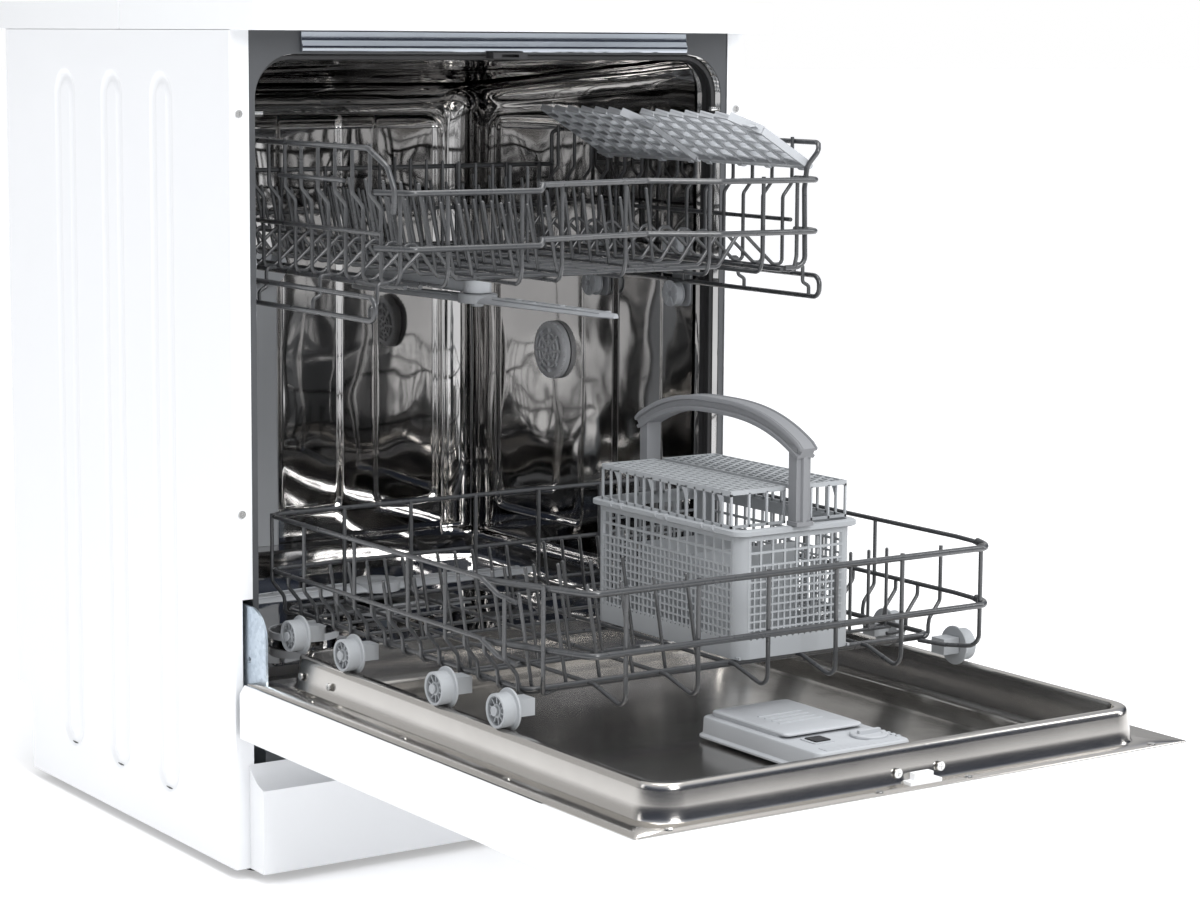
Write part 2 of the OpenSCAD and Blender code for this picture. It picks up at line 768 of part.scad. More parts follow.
// Polished steel inner side of the door: a flange, a raised rim and a sunken floor
module door_liner() {
  t = door_sheet;
  r = liner_r;
  in_x = rim_in_x;
  in_y0 = liner_tip_y + rim_w + 6;
  in_y1 = liner_root_y - 4;
  color(steel) difference() {
    union() {
      translate([0, 0, door_top - t]) linear_extrude(t) difference() {
        plan(inner_w - 1, door_tip_y + 1, door_root_y - 10, 3);
        plan(liner_x - t, liner_tip_y + t, liner_root_y - t, r);
      }
      translate([0, 0, door_top - t]) linear_extrude(rim_h + t) difference() {
        plan(liner_x, liner_tip_y, liner_root_y, r);
        plan(liner_x - t, liner_tip_y + t, liner_root_y - t, r - t);
      }
      translate([0, 0, rim_z - t]) linear_extrude(t) difference() {
        plan(liner_x, liner_tip_y, liner_root_y, r);
        plan(in_x, in_y0, in_y1, r - 8);
      }
      translate([0, 0, liner_floor_z - t]) linear_extrude(rim_z - liner_floor_z + t) difference() {
        plan(in_x + t, in_y0 - t, in_y1 + t, r - 7);
        plan(in_x, in_y0, in_y1, r - 8);
      }
      translate([0, 0, liner_floor_z - t]) linear_extrude(t) plan(in_x + t, in_y0 - t, in_y1 + t, r - 7);
    }
    block([disp_x0 + 5, disp_y0 + 5, liner_floor_z - 5], [disp_x1 - 5, disp_y1 - 5, liner_floor_z + 5]);
    both_sides() block([bracket_x + 2, hinge_y - 14, door_top - 3], [bracket_x + 6.5, door_root_y, door_top + 1]);
    // the wheels' flanges leave the door through these notches
    both_sides() block([in_x - 6, in_y1 - r, rim_z - flange_out - 2], [in_x, liner_root_y + 1, rim_z + 1]);
  }
}

module door_latch() {
  y = liner_tip_y;
  color(white) difference() {
    union() {
      block([latch_x - 17, y - 10, door_top + seat], [latch_x + 17, y - seat, door_top + 3]);
      block([latch_x - 10, y - 7, door_top + 2], [latch_x + 10, y - seat, door_top + 9]);
    }
    block([latch_x - 5, y - 8, door_top + 3], [latch_x + 5, y - 2, door_top + 10]);
  }
}

// Door side of each hinge: a plate inside the door that rises behind it and pivots on the pin
module hinge_arms() {
  x = bracket_x + 3;
  color(zinc) both_sides() difference() {
    in_yz(x, 2.5) difference() {
      union() {
        translate([hinge_y - 150, door_bottom + panel_t + seat])
          square([163, door_t - panel_t - door_sheet - 2 * seat]);
        translate([hinge_y - 12, door_top - 20]) square([52, 62]);
        translate([hinge_y + 18, door_top + 42]) circle(30);
        translate([hinge_y + 18, door_top + 40]) square([22, 32]);
      }
      translate([hinge_y, hinge_z]) circle(pin_r + running);
      translate([hinge_y + 21, door_top + 20]) circle(3);
    }
  }
}

// Plastic detergent and rinse-aid dispenser set in the liner
module dispenser_body() {
  color(light_grey) difference() {
    union() {
      translate([0, 0, liner_floor_z + seat]) linear_extrude(disp_top - liner_floor_z - seat)
        round_rect([disp_x0, disp_y0], [disp_x1, disp_y1], 8);
      block([disp_x0 + 6, disp_y0 + 6, liner_floor_z - 26], [disp_x1 - 6, disp_y1 - 6, liner_floor_z + 1]);
    }
    // detergent chamber
    block([cup_x0, cup_y0, liner_floor_z - 22], [cup_x1, cup_y1, disp_top + 1]);
    // rinse-aid filler
    translate([disp_x1 - 26, disp_y0 + 30, liner_floor_z - 20]) cylinder(r = 13, h = 60);
    // release button well
    translate([disp_x0 + 30, disp_y0 + 40, disp_top - 8]) linear_extrude(10) square(16.4, center = true);
    block([disp_x0 + 8, disp_y0 + 22, disp_top - 4], [disp_x0 + 50, disp_y0 + 28, disp_top + 1]);
  }
}

// The lid slides towards the hinge side of the door
module dispenser_lid() {
  z = disp_top + seat;
  color([0.74, 0.75, 0.77]) {
    translate([0, 0, z]) linear_extrude(5) round_rect([cup_x0 - 6, cup_y0 - 6], [cup_x1 + 6, cup_y1 + 4], 5);
    for (i = [0 : 3]) block([cup_x0 + 12, cup_y0 + 24 + i * 10, z + 5], [cup_x1 - 12, cup_y0 + 27 + i * 10, z + 5.8]);
  }
}

module dispenser_button() {
  color(black) translate([disp_x0 + 30, disp_y0 + 40, disp_top - 5]) linear_extrude(7) square(16, center = true);
}

module rinse_aid_cap() {
  color([0.74, 0.75, 0.77]) translate([disp_x1 - 26, disp_y0 + 30, 0]) {
    translate([0, 0, disp_top + seat]) cylinder(r = 17, h = 3);
    translate([0, 0, disp_top - 12]) cylinder(r = 13 - running, h = 13);
    translate([-12, -2, disp_top + 3]) cube([24, 4, 3]);
  }
}

module door_screws() {
  color(zinc) {
    for (s = [-1, 1]) translate([latch_x + s * 23, liner_tip_y - seat, door_top + 10]) screw_head(4);
    both_sides() for (y = [hinge_y - 42, hinge_y - 96])
      translate([liner_x + seat, y, door_top + 13]) rotate([0, 0, 90]) screw_head(3.6);
    for (x = [-260, -48, 48, 260]) translate([x, door_tip_y + 8, door_top + seat]) cylinder(r = 3.4, h = 1.2);
    both_sides() for (y = [hinge_y - 90, hinge_y - 260, hinge_y - 430])
      translate([liner_x + 16, y, door_top + seat]) cylinder(r = 3.4, h = 1.2);
  }
}

// Outline in plan of a rack: the front stands forward between two cut corners
module rack_outline(x, y_front, y_rear, bulge, cut) {
  polygon([[-x, y_rear], [x, y_rear], [x, y_front + bulge], [x - cut, y_front], [-x + cut, y_front],
    [-x, y_front + bulge]]);
}

// A band along a rack's outline, t wide, between two heights
module rack_rail(x, y_front, y_rear, bulge, cut, z, t) {
  translate([0, 0, z - t / 2]) linear_extrude(t) difference() {
    rack_outline(x, y_front, y_rear, bulge, cut);
    rack_outline(x - t, y_front + t, y_rear - t, bulge + t * 0.4, cut);
  }
}

function steps(a, b, n) = [for (i = [0 : n]) a + (b - a) * i / n];

// A row of leaning tines on a wire along X, flat in its own plane
module tine_row(x0, x1, y, z, h, n, lean) {
  in_xz(y - tine / 2, tine) {
    translate([x0, z]) square([x1 - x0, tine]);
    for (x = steps(x0 + tine, x1 - tine, n - 1)) bar([x, z + tine / 2], [x - h * tan(lean), z + h], tine);
  }
}

// One wall of a rack: two long rails and upright wires, flat in a plane along Y
module side_wall(x, y0, y1, z0, heights, n) {
  in_yz(x, wire) {
    for (z = heights) translate([y0, z - wire / 2]) square([y1 - y0, wire]);
    translate([y0, z0]) square([y1 - y0, wire]);
    for (y = steps(y0 + wire / 2, y1 - wire / 2, n)) {
      translate([y - tine / 2, z0]) square([tine, heights[0] - z0 + wire / 2]);
    }
  }
}

module end_wall(x0, x1, y, z0, heights, n) {
  in_xz(y, wire) {
    for (z = heights) translate([x0, z - wire / 2]) square([x1 - x0, wire]);
    translate([x0, z0]) square([x1 - x0, wire]);
    for (x = steps(x0 + wire / 2, x1 - wire / 2, n)) {
      translate([x - tine / 2, z0]) square([tine, heights[0] - z0 + wire / 2]);
    }
  }
}

// The slanted piece of wall across a cut front corner
module corner_wall(a, b, z0, heights, n) {
  d = b - a;
  l = norm(d);
  translate([a[0], a[1], 0]) rotate([0, 0, atan2(d[1], d[0])]) in_xz(0, wire) {
    for (z = heights) translate([0, z - wire / 2]) square([l, wire]);
    translate([0, z0]) square([l, wire]);
    for (x = steps(wire / 2, l - wire / 2, n)) {
      translate([x - tine / 2, z0]) square([tine, heights[0] - z0 + wire / 2]);
    }
  }
}

module floor_grid(x, y0, y1, z, nx, ny) {
  translate([0, 0, z]) linear_extrude(wire) {
    for (i = steps(-x + wire / 2, x - wire / 2, nx)) translate([i - wire / 2, y0]) square([wire, y1 - y0]);
    for (j = steps(y0 + wire / 2, y1 - wire / 2, ny)) translate([-x, j - wire / 2]) square([2 * x, wire]);
  }
}

lower_heights = [lower_floor_z + lower_rack_h - 3, lower_floor_z + lower_rack_h - 58];
lower_corner_y = lower_front_y + lower_bulge;
lower_tines_z = lower_floor_z + wire + seat;
// How far the walls beside a cut corner end before it
mitre = wire + 0.5;
module lower_rack() {
  z0 = lower_floor_z;
  g = seat;
  x = lower_x;
  cx = x - lower_cut;
  color(dark_wire) {
    floor_grid(x - wire - g, lower_corner_y + mitre, lower_rear_y - wire - g, z0, 12, 10);
    floor_front();
    both_sides() side_wall(x - wire, lower_corner_y + mitre, lower_rear_y, z0, lower_heights, 13);
    end_wall(-x + wire + g, x - wire - g, lower_rear_y - wire, z0, lower_heights, 8);
    end_wall(-cx + mitre, cx - mitre, lower_front_y, z0, lower_heights, 6);
    both_sides() corner_wall([cx + g, lower_front_y + g], [x - g, lower_corner_y - g], z0, lower_heights, 2);
    for (i = [0 : 5]) {
      y = lower_rear_y - 50 - i * 62;
      tine_row(-x + 37, -34, y, lower_tines_z, 84, tine_count, 16);
      if (i < 2) tine_row(22, x - 14, y, lower_tines_z, 84, tine_count, 16);
      if (i > 2) tine_row(basket_x + basket_w / 2 + 12, x - 14, y, lower_tines_z, 74, 4, 0);
    }
  }
}

// Front strip of the rack's floor between the cut corners
module floor_front() {
  cx = lower_x - lower_cut - mitre;
  translate([0, 0, lower_floor_z]) linear_extrude(wire) {
    for (i = steps(-cx + wire / 2, cx - wire / 2, 8))
      translate([i - wire / 2, lower_front_y + wire + seat]) square([wire, lower_bulge + mitre - wire - 2 * seat]);
    translate([-cx, lower_corner_y - 20]) square([2 * cx, wire]);
    translate([-cx, lower_front_y + wire + seat]) square([2 * cx, wire]);
  }
}

// Plastic clips under the lower rack with the axle stub of each wheel
module wheel_clips() {
  color(light_grey) both_sides() for (d = wheel_at) {
    y = lower_front_y + d;
    block([lower_x - 18, y - 9, wheel_z - 6], [lower_x + 0.4, y + 9, lower_floor_z - seat]);
    translate([lower_x, y, wheel_z]) along_x(axle_r, 17);
    translate([lower_x + 17, y, wheel_z]) along_x(axle_r + 1.4, 1.4);
  }
}

// One left and one right wheel on the same axis: a spoked tread with a flange on the inside
module wheel_pair(y) {
  color(light_grey) both_sides() translate([wheel_in_x, y, wheel_z]) difference() {
    union() {
      along_x(wheel_r + flange_out, flange_t);
      along_x(wheel_r, flange_t + tread_w);
    }
    translate([flange_t + 2, 0, 0]) difference() {
      along_x(wheel_r - 2.2, tread_w);
      along_x(axle_r + 2.2, tread_w - 2.6);
      for (a = [0 : 45 : 315]) rotate([a, 0, 0]) block([0, 0, -0.7], [tread_w - 3, wheel_r, 0.7]);
    }
    translate([-1, 0, 0]) along_x(axle_r + running, 30);
  }
}

module wheels_1() { wheel_pair(lower_front_y + wheel_at[0]); }
module wheels_2() { wheel_pair(lower_front_y + wheel_at[1]); }
module wheels_3() { wheel_pair(lower_front_y + wheel_at[2]); }
module wheels_4() { wheel_pair(lower_front_y + wheel_at[3]); }

// Windows cut in a basket wall: rows of upright slots
module slots(w, z0, z1, n, rows) {
  gap = 3;
  h = (z1 - z0) / rows;
  for (i = [0 : n - 1], j = [0 : rows - 1])
    translate([-w / 2 + gap / 2 + i * w / n, z0 + gap / 2 + j * h]) square([w / n - gap, h - gap]);
}

// A pierced wall of the basket in its own plane: tall windows over four rows of slots
module basket_panel(w, reach) {
  difference() {
    translate([-w / 2, basket_z]) square([w, basket_h - rim_t - seat]);
    slots(w - reach, rim_top_z - 36, rim_top_z - 12, round(w / 20), 1);
    slots(w - reach, basket_z + 18, rim_top_z - 37, round(w / 13), 4);
  }
}

rim_t = 4;
// Each panel of the basket stands by itself, a hair from the next
module cutlery_basket() {
  x = basket_w / 2 - 5;
  y = basket_l / 2 - 5;
  t = basket_wall;
  g = seat;
  z1 = rim_top_z - rim_t;
  color(light_grey) translate([basket_x, basket_mid_y, 0]) {
    for (s = [-y, y - t]) in_xz(s, t) basket_panel(2 * x, 26);
    both_sides() in_yz(x - t, t) basket_panel(2 * (y - t - g), 34);
    for (s = [-1, 1]) block([-x - 5, min(s * (y - t), s * (y + 5)), z1], [x + 5, max(s * (y - t), s * (y + 5)), rim_top_z]);
    both_sides() block([x - t, -y + t + g, z1], [x + 5, y - t - g, rim_top_z]);
    // pierced floor and two cross walls
    translate([0, 0, basket_z]) linear_extrude(3) difference() {
      translate([-x + t + g, -y + t + g]) square(2 * [x - t - g, y - t - g]);
      slots(2 * x - 20, -y + 9, y - 9, 7, 9);
    }
    for (s = [-y / 3, y / 3]) in_xz(s - 1, 2) difference() {
      translate([-x + t + g, basket_z + 3 + g]) square([2 * (x - t - g), basket_h - 33 - g]);
      slots(2 * x - 30, basket_z + 12, rim_top_z - 40, 8, 4);
    }
  }
}

// Arched carrying handle with two uprights that stand on the ends of the rim
module basket_handle() {
  up = rim_top_z + seat;
  end_y = basket_l / 2 + 6;
  color(mid_grey) translate([basket_x, basket_mid_y, 0]) {
    in_yz(-handle_t / 2 + 2, handle_t - 4) for (s = [-1, 1]) {
      translate([s > 0 ? end_y - 15 : -end_y, up]) square([15, handle_rise - 30]);
    }
    in_yz(-handle_t / 2, handle_t) {
      polygon([[-end_y - 14, up + handle_rise - 36], [-end_y - 8, up + handle_rise - 24], [-94, up + handle_rise - 8],
        [-46, up + handle_rise], [46, up + handle_rise], [94, up + handle_rise - 8],
        [end_y + 8, up + handle_rise - 24], [end_y + 14, up + handle_rise - 36], [end_y - 17, up + handle_rise - 36],
        [88, up + handle_rise - 23], [42, up + handle_rise - 15], [-42, up + handle_rise - 15],
        [-88, up + handle_rise - 23], [-end_y + 17, up + handle_rise - 36]]);
    }
  }
}

// Half of the basket's lid: a low grid with upright bars, hinged on the long side of the rim
module basket_lid_half() {
  x0 = lid_split;
  x1 = basket_w / 2 - 4;
  y = basket_l / 2 - 17;
  z = rim_top_z + seat;
  wall_h = lid_h - 2 - seat;
  translate([basket_x, basket_mid_y, 0]) {
    translate([0, 0, z + lid_h - 2]) linear_extrude(2) difference() {
      translate([x0, -y]) square([x1 - x0, 2 * y]);
      translate([(x0 + x1) / 2, 0]) slots(x1 - x0 - 5, -y + 3, y - 3, 6, 14);
    }
    in_yz(x1 - 2, 2) difference() {
      translate([-y, z]) square([2 * y, wall_h]);
      slots(2 * y - 4, z + 4.6, z + wall_h - 2, 16, 1);
    }
    // hinge knuckles on the rim
    for (s = [-y * 0.75, y * 0.15]) translate([x1, s, z - seat + lid_axis_h]) along_y(lid_axis_h - 0.2, 14);
    for (s = [-y, y - 2]) in_xz(s, 2) difference() {
      translate([x0, z]) square([x1 - x0 - 2 - seat, wall_h]);
      translate([(x0 + x1) / 2 - 1, 0]) slots(x1 - x0 - 6, z + 2, z + wall_h - 2, 4, 1);
    }
  }
}

module basket_lid_right() {
  color(light_grey) basket_lid_half();
}

module basket_lid_left() {
  color(light_grey) translate([2 * basket_x, 0, 0]) mirror([1, 0, 0]) basket_lid_half();
}

upper_heights = [upper_floor_z + upper_rack_h - 2, upper_floor_z + 48];
upper_front_heights = [upper_floor_z + 87, upper_floor_z + 36];
upper_corner_y = upper_front_y + upper_bulge;
module upper_rack() {
  z0 = upper_floor_z;
  g = seat;
  x = upper_x;
  cx = x - 20;
  color(dark_wire) {
    floor_grid(x - wire - g, upper_corner_y + mitre, upper_rear_y - wire - g, z0, 14, 10);
    both_sides() side_wall(x - wire, upper_corner_y + mitre, upper_rear_y, z0, upper_heights, 14);
    end_wall(-x + wire + g, x - wire - g, upper_rear_y - wire, z0, upper_front_heights, 9);
    end_wall(-cx + mitre, cx - mitre, upper_front_y, z0, upper_front_heights, 8);
    both_sides() corner_wall([cx + g, upper_front_y + g], [x - g, upper_corner_y - g], z0, upper_front_heights, 1);
    for (i = [0 : 5]) {
      y = upper_rear_y - 50 - i * 72;
      tine_row(-x + 30, -24, y, z0 + wire + g, 62, tine_count, 15);
      tine_row(2, 130, y, z0 + wire + g, 50, 7, 0);
    }
  }
}

// Steel strips along both sides that run between the rollers
module upper_rack_runners() {
  color(steel) both_sides() {
    in_yz(upper_x + 3.9, runner_t) translate([upper_corner_y, runner_z])
      square([upper_rear_y - upper_corner_y, runner_h]);
    for (y = steps(upper_corner_y + 12, upper_rear_y - 12, 4)) {
      block([upper_x - 7, y - 5, runner_z + 14], [upper_x + 4, y + 5, runner_z + 18]);
      block([upper_x - 7, y - 5, runner_z + 14], [upper_x - 1, y + 5, upper_floor_z - seat]);
    }
  }
}

// Pipe under the upper rack from its back to the middle, with the hub of the spray arm
module upper_spray_feed() {
  z = arm_z + 17;
  color(light_grey) {
    translate([feed_x, spray_y, z]) along_y(9, upper_rear_y - spray_y - 18);
    translate([feed_x, spray_y, z - 9.15]) cylinder(r = 14, h = upper_floor_z - z + 9.15 - seat);
    translate([feed_x, upper_rear_y - 60, z]) block([-3, -5, 0], [3, 5, upper_floor_z - z - seat]);
    translate([feed_x, spray_y, arm_z - 4]) cylinder(r = 6, h = 14);
  }
}

module upper_spray_arm() {
  color(mid_grey) translate([feed_x, spray_y, 0]) rotate([0, 0, -84]) difference() {
    union() {
      translate([0, 0, arm_z]) linear_extrude(7) round_rect([-arm_l / 2, -13], [arm_l / 2, 13], 12.9);
      translate([0, 0, arm_z]) cylinder(r = 20, h = 7.7);
    }
    translate([0, 0, arm_z - 5]) cylinder(r = 6 + running, h = 20);
    for (x = [-180 : 30 : 180]) if (abs(x) > 25) translate([x, 4, arm_z + 5]) cylinder(r = 1.5, h = 5);
  }
}

// One folding cup shelf: overlapping slats on two arms, hinged on the right-hand side of the rack
module cup_shelf(y0) {
  y1 = y0 + shelf_l;
  rows = 5;
  color(light_grey) translate([shelf_hinge_x, 0, shelf_hinge_z]) rotate([0, shelf_angle, 0]) mirror([1, 0, 0]) {
    translate([0, y0, 0]) linear_extrude(shelf_t) difference() {
      square([shelf_w, shelf_l]);
      for (i = [0 : rows - 1], j = [0 : 6])
        translate([10 + i * (shelf_w - 14) / rows, 5 + j * (shelf_l - 6) / 7])
          square([(shelf_w - 14) / rows - 5, (shelf_l - 6) / 7 - 5]);
    }
    for (j = [0 : 7]) translate([4, y0 + j * (shelf_l - 3) / 7, -7]) cube([shelf_w - 4, 3, 8]);
    translate([0, y0, 0]) along_y(3.5, shelf_l);
  }
}

module cup_shelf_front() { cup_shelf(shelf_front_y); }
module cup_shelf_rear() { cup_shelf(shelf_front_y + shelf_l + 8); }

// Middle of the whole outline in Y
outline_mid_y = (worktop_d / 2 + door_tip_y) / 2;
translate([0, -outline_mid_y, 0]) {
  worktop();
  left_side_panel();
  right_side_panel();
  rear_panel();
  base_tray();
  levelling_feet();
  front_frame();
  top_crossbar();
  latch_catch();
  tub();
  door_seal();
  kick_plate();
  hinge_brackets();
  hinge_springs();
  roller_brackets();
  vent_cap();
  water_feed_duct();
  sump();
  filter_plate();
  circulation_pump();
  drain_pump();
  water_softener();
  inlet_valve();
  cord_gland();
  cabinet_screws();
  filter_cup();
  salt_cap();
  lower_spray_arm();
  front_lower_rollers();
  rear_lower_rollers();
  front_upper_rollers();
  rear_upper_rollers();
  door_outer_panel();
  control_panel();
  door_liner();
  door_latch();
  hinge_arms();
  dispenser_body();
  door_screws();
  dispenser_lid();
  dispenser_button();
  rinse_aid_cap();
  power_button();
  programme_button();
  lower_rack();
  wheel_clips();
  wheels_1();
  wheels_2();
  wheels_3();
  wheels_4();
  cutlery_basket();
  basket_handle();
  basket_lid_left();
  basket_lid_right();
  upper_rack();
  upper_rack_runners();
  upper_spray_feed();
  upper_spray_arm();
  cup_shelf_front();
  cup_shelf_rear();
}
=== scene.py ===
"""A freestanding dishwasher with its door open and both racks drawn out."""
import math

import bmesh
import bpy
from mathutils import Matrix, Vector, noise
from mathutils.geometry import tessellate_polygon


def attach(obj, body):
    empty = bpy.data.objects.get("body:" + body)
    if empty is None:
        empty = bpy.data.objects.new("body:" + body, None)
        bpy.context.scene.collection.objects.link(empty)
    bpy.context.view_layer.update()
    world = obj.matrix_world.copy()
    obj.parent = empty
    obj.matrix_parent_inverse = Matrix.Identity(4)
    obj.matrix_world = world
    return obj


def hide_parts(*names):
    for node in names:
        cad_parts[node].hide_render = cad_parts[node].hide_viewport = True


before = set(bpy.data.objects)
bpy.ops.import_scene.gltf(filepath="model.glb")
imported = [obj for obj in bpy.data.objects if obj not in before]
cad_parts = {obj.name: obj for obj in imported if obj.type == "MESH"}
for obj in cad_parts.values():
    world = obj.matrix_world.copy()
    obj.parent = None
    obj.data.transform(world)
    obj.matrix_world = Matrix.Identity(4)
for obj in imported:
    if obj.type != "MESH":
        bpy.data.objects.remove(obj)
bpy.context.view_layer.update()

# All sizes below are in millimetres, measured from the floor under the middle of the worktop.
# The front of the machine looks along -Y. The frame's origin lies OUTLINE_MID_Y further forward.
OUTLINE_MID_Y = -309.0

# Cabinet
HALF_W = 299.0
FRONT_Y = -248.0
REAR_Y = 282.0
TOP_Z = 815.0
TOTAL_H = 845.0
FOOT_H = 10.0
WORKTOP_HALF_D = 300.0
WORKTOP_JOINT_Y = -6.7
CROSSBAR_HALF_L = 224.0
FLANGE_X = 279.0
HINGE_NOTCH_X = 290.0
HINGE_NOTCH_Z = (146.0, 274.0)
FOLD_R = 1.5
REAR_FOLD_FOOT_Z = 100.0
BEAD_YS = (-100.0, 14.0, 128.0)
BEAD_Z = (60.0, 771.0)
BEAD_HALF_W = 21.0
SIDE_SCREW_X = 289.5
SIDE_SCREW_ZS = (357.0, 737.0)
MOUTH_X = 272.0
MOUTH_TOP_Z = 793.0
MOUTH_R = 42.0
SILL_Z = 174.0

# Tub
TUB_X = 266.0
TUB_FRONT_Y = -208.0
TUB_REAR_Y = 252.0
TUB_REAR_R = 34.0
TUB_TOP_R = 26.0
CEILING_FRONT_Z = 787.0
CEILING_REAR_Z = 753.0
LEDGE_X = 250.5
LEDGE_Z = 227.7
FLOOR_Z = 195.7
REAR_LEDGE_Y = 214.0
SUMP_Y = -41.0
SUMP_R = 80.0
SALT_MOUTH = (-150.0, -110.0)
SALT_MOUTH_R = 34.0
PANEL_R = 14.0
PANEL_DEEP = 2.6
BACK_PANELS = ((16, 95, 262, 728), (143, 224, 262, 728), (-95, -31, 262, 728), (-224, -143, 262, 728))
SIDE_PANELS = ((2, 182, 262, 716), (-150, -62, 262, 716))
CEILING_PANELS = ((-212, 212, 2, 182),)
# shares of a side wall's height, closer together at the ends of its panels
TUB_WALL_SHARES = ([0.03 + 0.004 * i for i in range(13)] + [0.1 + 0.05 * i for i in range(16)]
                   + [0.868 + 0.004 * i for i in range(34)])
VENT_Y = 62.0
VENT_Z = 456.7

# Door
DOOR_TOP = 197.0
DOOR_TIP_Y = -918.0
DOOR_X = 296.8
LINER_X = 265.0
LINER_TIP_Y = -898.0
LINER_ROOT_Y = -284.0
RIM_Z = 227.7
LINER_FLOOR_Z = 186.0

# Lower rack
LOWER_X = 243.75
LOWER_FRONT_Y = -712.25
LOWER_REAR_Y = -214.25
WHEEL_X = 247.0
WHEEL_Z = 243.0
WHEEL_YS = (-659.0, -557.0, -392.0, -288.0)

# Cutlery basket
BASKET_X = 59.0
BASKET_Y = -544.0
BASKET_Z = 256.6
BASKET_HALF_W = 65.0
BASKET_HALF_L = 115.0
RIM_TOP_Z = 374.6
LID_H = 34.0

# Upper rack
UPPER_REAR_Y = 23.75
UPPER_FLOOR_Z = 587.4
UPPER_PITCH = 32.6
ROLLER_YS = {"front": -190.0, "rear": -35.0}
ROLLER_ZS = {"lower": 540.7, "upper": 591.3}
FEED_X = -8.0
FEED_Z = 562.0
SPRAY_Y = -218.0
SHELF_HINGE_X = 239.7
SHELF_HINGE_Z = 686.0
SHELF_ANGLE = math.radians(31)


def place(point):
    """A point in millimetres as a point of the frame in metres."""
    x, y, z = point
    return Vector((x, y - OUTLINE_MID_Y, z)) / 1000


# Materials

class Value:
    """A socket of a node tree that can be used in sums."""

    def __init__(self, nodes, socket):
        self.nodes = nodes
        self.socket = socket

    def maths(self, operation, *terms):
        return self.nodes.node("ShaderNodeMath", {"operation": operation}, dict(enumerate(terms)))[0]

    def __add__(self, other):
        return self.maths("ADD", self, other)

    def __mul__(self, other):
        return self.maths("MULTIPLY", self, other)

    __radd__ = __add__
    __rmul__ = __mul__


class Outputs:
    """The outputs of a node as values."""

    def __init__(self, nodes, made):
        self.nodes = nodes
        self.made = made

    def __getitem__(self, name):
        return Value(self.nodes, self.made.outputs[name])


class Nodes:
    """The nodes of a material or of the world."""

    def __init__(self, owner):
        owner.use_nodes = True
        self.tree = owner.node_tree

    def node(self, kind, settings=None, inputs=None):
        """Adds a node: its settings first, a ramp's stops among them, then its sockets' values or links."""
        made = self.tree.nodes.new(kind)
        for name, value in (settings or {}).items():
            if name == "stops":
                elements = made.color_ramp.elements
                while len(elements) < len(value):
                    elements.new(1.0)
                for element, (at, colour) in zip(elements, value):
                    element.position = at
                    element.color = (*colour, 1.0)
            else:
                setattr(made, name, value)
        for name, value in (inputs or {}).items():
            if isinstance(value, Value):
                self.tree.links.new(value.socket, made.inputs[name])
            else:
                made.inputs[name].default_value = value
        return Outputs(self, made)

    def between(self, share, a, b):
        """A colour between a and b, each a colour or a value."""
        a, b = (end if isinstance(end, Value) else (*end, 1.0) for end in (a, b))
        return self.node("ShaderNodeMix", {"data_type": "RGBA"}, {0: share, 6: a, 7: b})[2]


class Finish(Nodes):
    """A material made of one shader and the nodes that feed it."""

    def __init__(self, name, slot, **fixed):
        self.slot = slot
        self.material = bpy.data.materials.new(name)
        super().__init__(self.material)
        self.shader = self.tree.nodes["Principled BSDF"]
        for socket, value in fixed.items():
            self.shader.inputs[socket.replace("_", " ")].default_value = value
        self.place = self.node("ShaderNodeTexCoord")["Object"]

    def noise(self, scale, detail=2.0, stretch=None, roughness=0.5):
        """Noise over the piece; scale is in lumps per metre, and stretch multiplies it along each axis."""
        at = self.place
        if stretch:
            at = self.node("ShaderNodeVectorMath", {"operation": "MULTIPLY"}, {0: at, 1: stretch})[0]
        inputs = {"Vector": at, "Scale": scale, "Detail": detail, "Roughness": roughness}
        return self.node("ShaderNodeTexNoise", None, inputs)[0]

    def feed(self, socket, value):
        self.tree.links.new(value.socket, self.shader.inputs[socket])

    def look(self, colour, roughness, *layers):
        """Feeds the colour, the roughness and bumps, which are pairs of a height and its depth in metres."""
        self.feed("Base Color", colour)
        self.feed("Roughness", roughness)
        normal = {}
        for height, depth in layers:
            inputs = {"Height": height, "Distance": depth, "Strength": 1.0, **normal}
            normal = {"Normal": self.node("ShaderNodeBump", None, inputs)[0]}
        self.feed("Normal", normal["Normal"])
        return self


def enamel(name, slot, light, dark, gloss):
    """White paint with the faint orange peel of a sprayed sheet."""
    f = Finish(name, slot, Coat_Weight=0.3, Coat_Roughness=0.1)
    return f.look(f.between(f.noise(3.0, 3.0), light, dark), f.noise(14.0, 3.0) * 0.1 + gloss,
                  (f.noise(420.0, 1.0), 0.00005), (f.noise(5.0, 2.0), 0.0004))


def moulded(name, slot, light, dark, gloss, grain=1600.0):
    """Injection-moulded plastic with a fine spark-eroded grain."""
    f = Finish(name, slot)
    return f.look(f.between(f.noise(9.0, 4.0), light, dark), f.noise(60.0, 3.0) * 0.16 + gloss,
                  (f.noise(grain, 2.0), 0.00008), (f.noise(30.0, 2.0), 0.0002))


def polished_steel(name, wave, brush, light, dark):
    """Bright stainless sheet: fine rolling lines, a wavy pressed surface and faint smears."""
    f = Finish(name, "stainless", Metallic=1.0)
    smear = f.noise(11.0, 5.0, roughness=0.6)
    lines = f.noise(60.0, 2.0, stretch=(1.0, 1.0, 40.0))
    return f.look(f.between(smear, light, dark), smear * brush * 0.9 + lines * brush * 0.5 + brush * 0.5,
                  (f.noise(7.0, 1.0), wave), (f.noise(21.0, 1.0), wave * 0.07))


